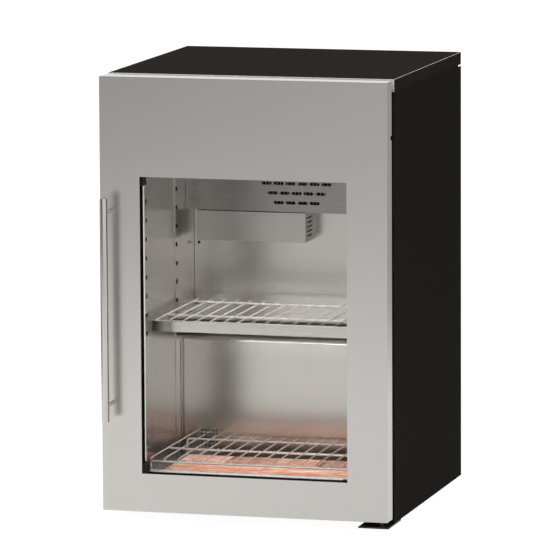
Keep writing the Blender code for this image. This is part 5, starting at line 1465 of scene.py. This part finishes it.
class BuildRacks(Operator):
    """Make both wire racks"""

    bl_idname = "cabinet.racks"
    bl_label = "Wire Racks"

    def execute(self, context):
        make_racks()
        return {"FINISHED"}


class BuildSaltBed(Operator):
    """Make the salt bricks and dress their tray"""

    bl_idname = "cabinet.salt_bed"
    bl_label = "Salt Bed"

    def execute(self, context):
        make_salt_bed()
        return {"FINISHED"}


class BuildCooling(Operator):
    """Make the evaporator and dress the circulation fan"""

    bl_idname = "cabinet.cooling"
    bl_label = "Evaporator and Fan"

    def execute(self, context):
        make_cooling()
        return {"FINISHED"}


class BuildMachine(Operator):
    """Make the compressor, condenser, pipes, grille and inlet"""

    bl_idname = "cabinet.machine"
    bl_label = "Machine Compartment"

    def execute(self, context):
        make_machine()
        return {"FINISHED"}


class BuildControls(Operator):
    """Make the control strip with its display, buttons and rocker"""

    bl_idname = "cabinet.controls"
    bl_label = "Controls"

    def execute(self, context):
        make_controls()
        return {"FINISHED"}


class BuildFeet(Operator):
    """Make the four levelling feet"""

    bl_idname = "cabinet.feet"
    bl_label = "Feet"

    def execute(self, context):
        make_feet()
        return {"FINISHED"}


class BuildStage(Operator):
    """Make the floor, the lights and the camera"""

    bl_idname = "cabinet.stage"
    bl_label = "Stage"

    def execute(self, context):
        make_stage()
        return {"FINISHED"}


BUILDERS = (BuildStage, BuildCasing, BuildDoorSkin, BuildGlazing, BuildGasket, BuildHandle, BuildHinges,
            BuildLiner, BuildFittings, BuildRacks, BuildSaltBed, BuildCooling, BuildMachine, BuildControls,
            BuildFeet)


class CabinetPanel(Panel):
    """Lists the cabinet's pieces, sizes and colours in the sidebar."""

    bl_idname = "VIEW3D_PT_aging_cabinet"
    bl_label = "Aging Cabinet"
    bl_space_type = "VIEW_3D"
    bl_region_type = "UI"
    bl_category = "Aging Cabinet"

    def draw(self, context):
        for builder in BUILDERS:
            self.layout.operator(builder.bl_idname)
        for settings in (context.scene.cabinet_sizes, context.scene.cabinet_colours):
            for name in settings.__annotations__:
                self.layout.prop(settings, name)


CLASSES = (CabinetSizes, CabinetColours, *BUILDERS, CabinetPanel)


def register():
    """Registers the classes and puts their settings on the scene."""
    for made in CLASSES:
        bpy.utils.register_class(made)
    bpy.types.Scene.cabinet_sizes = PointerProperty(type=CabinetSizes)
    bpy.types.Scene.cabinet_colours = PointerProperty(type=CabinetColours)


def unregister():
    """Takes the settings off the scene and the classes out of Blender."""
    del bpy.types.Scene.cabinet_colours
    del bpy.types.Scene.cabinet_sizes
    for made in reversed(CLASSES):
        bpy.utils.unregister_class(made)


def main():
    """Builds every piece and the stage."""
    register()
    for builder in BUILDERS:
        getattr(bpy.ops.cabinet, builder.bl_idname.split(".")[1])()


if __name__ == "__main__":
    main()
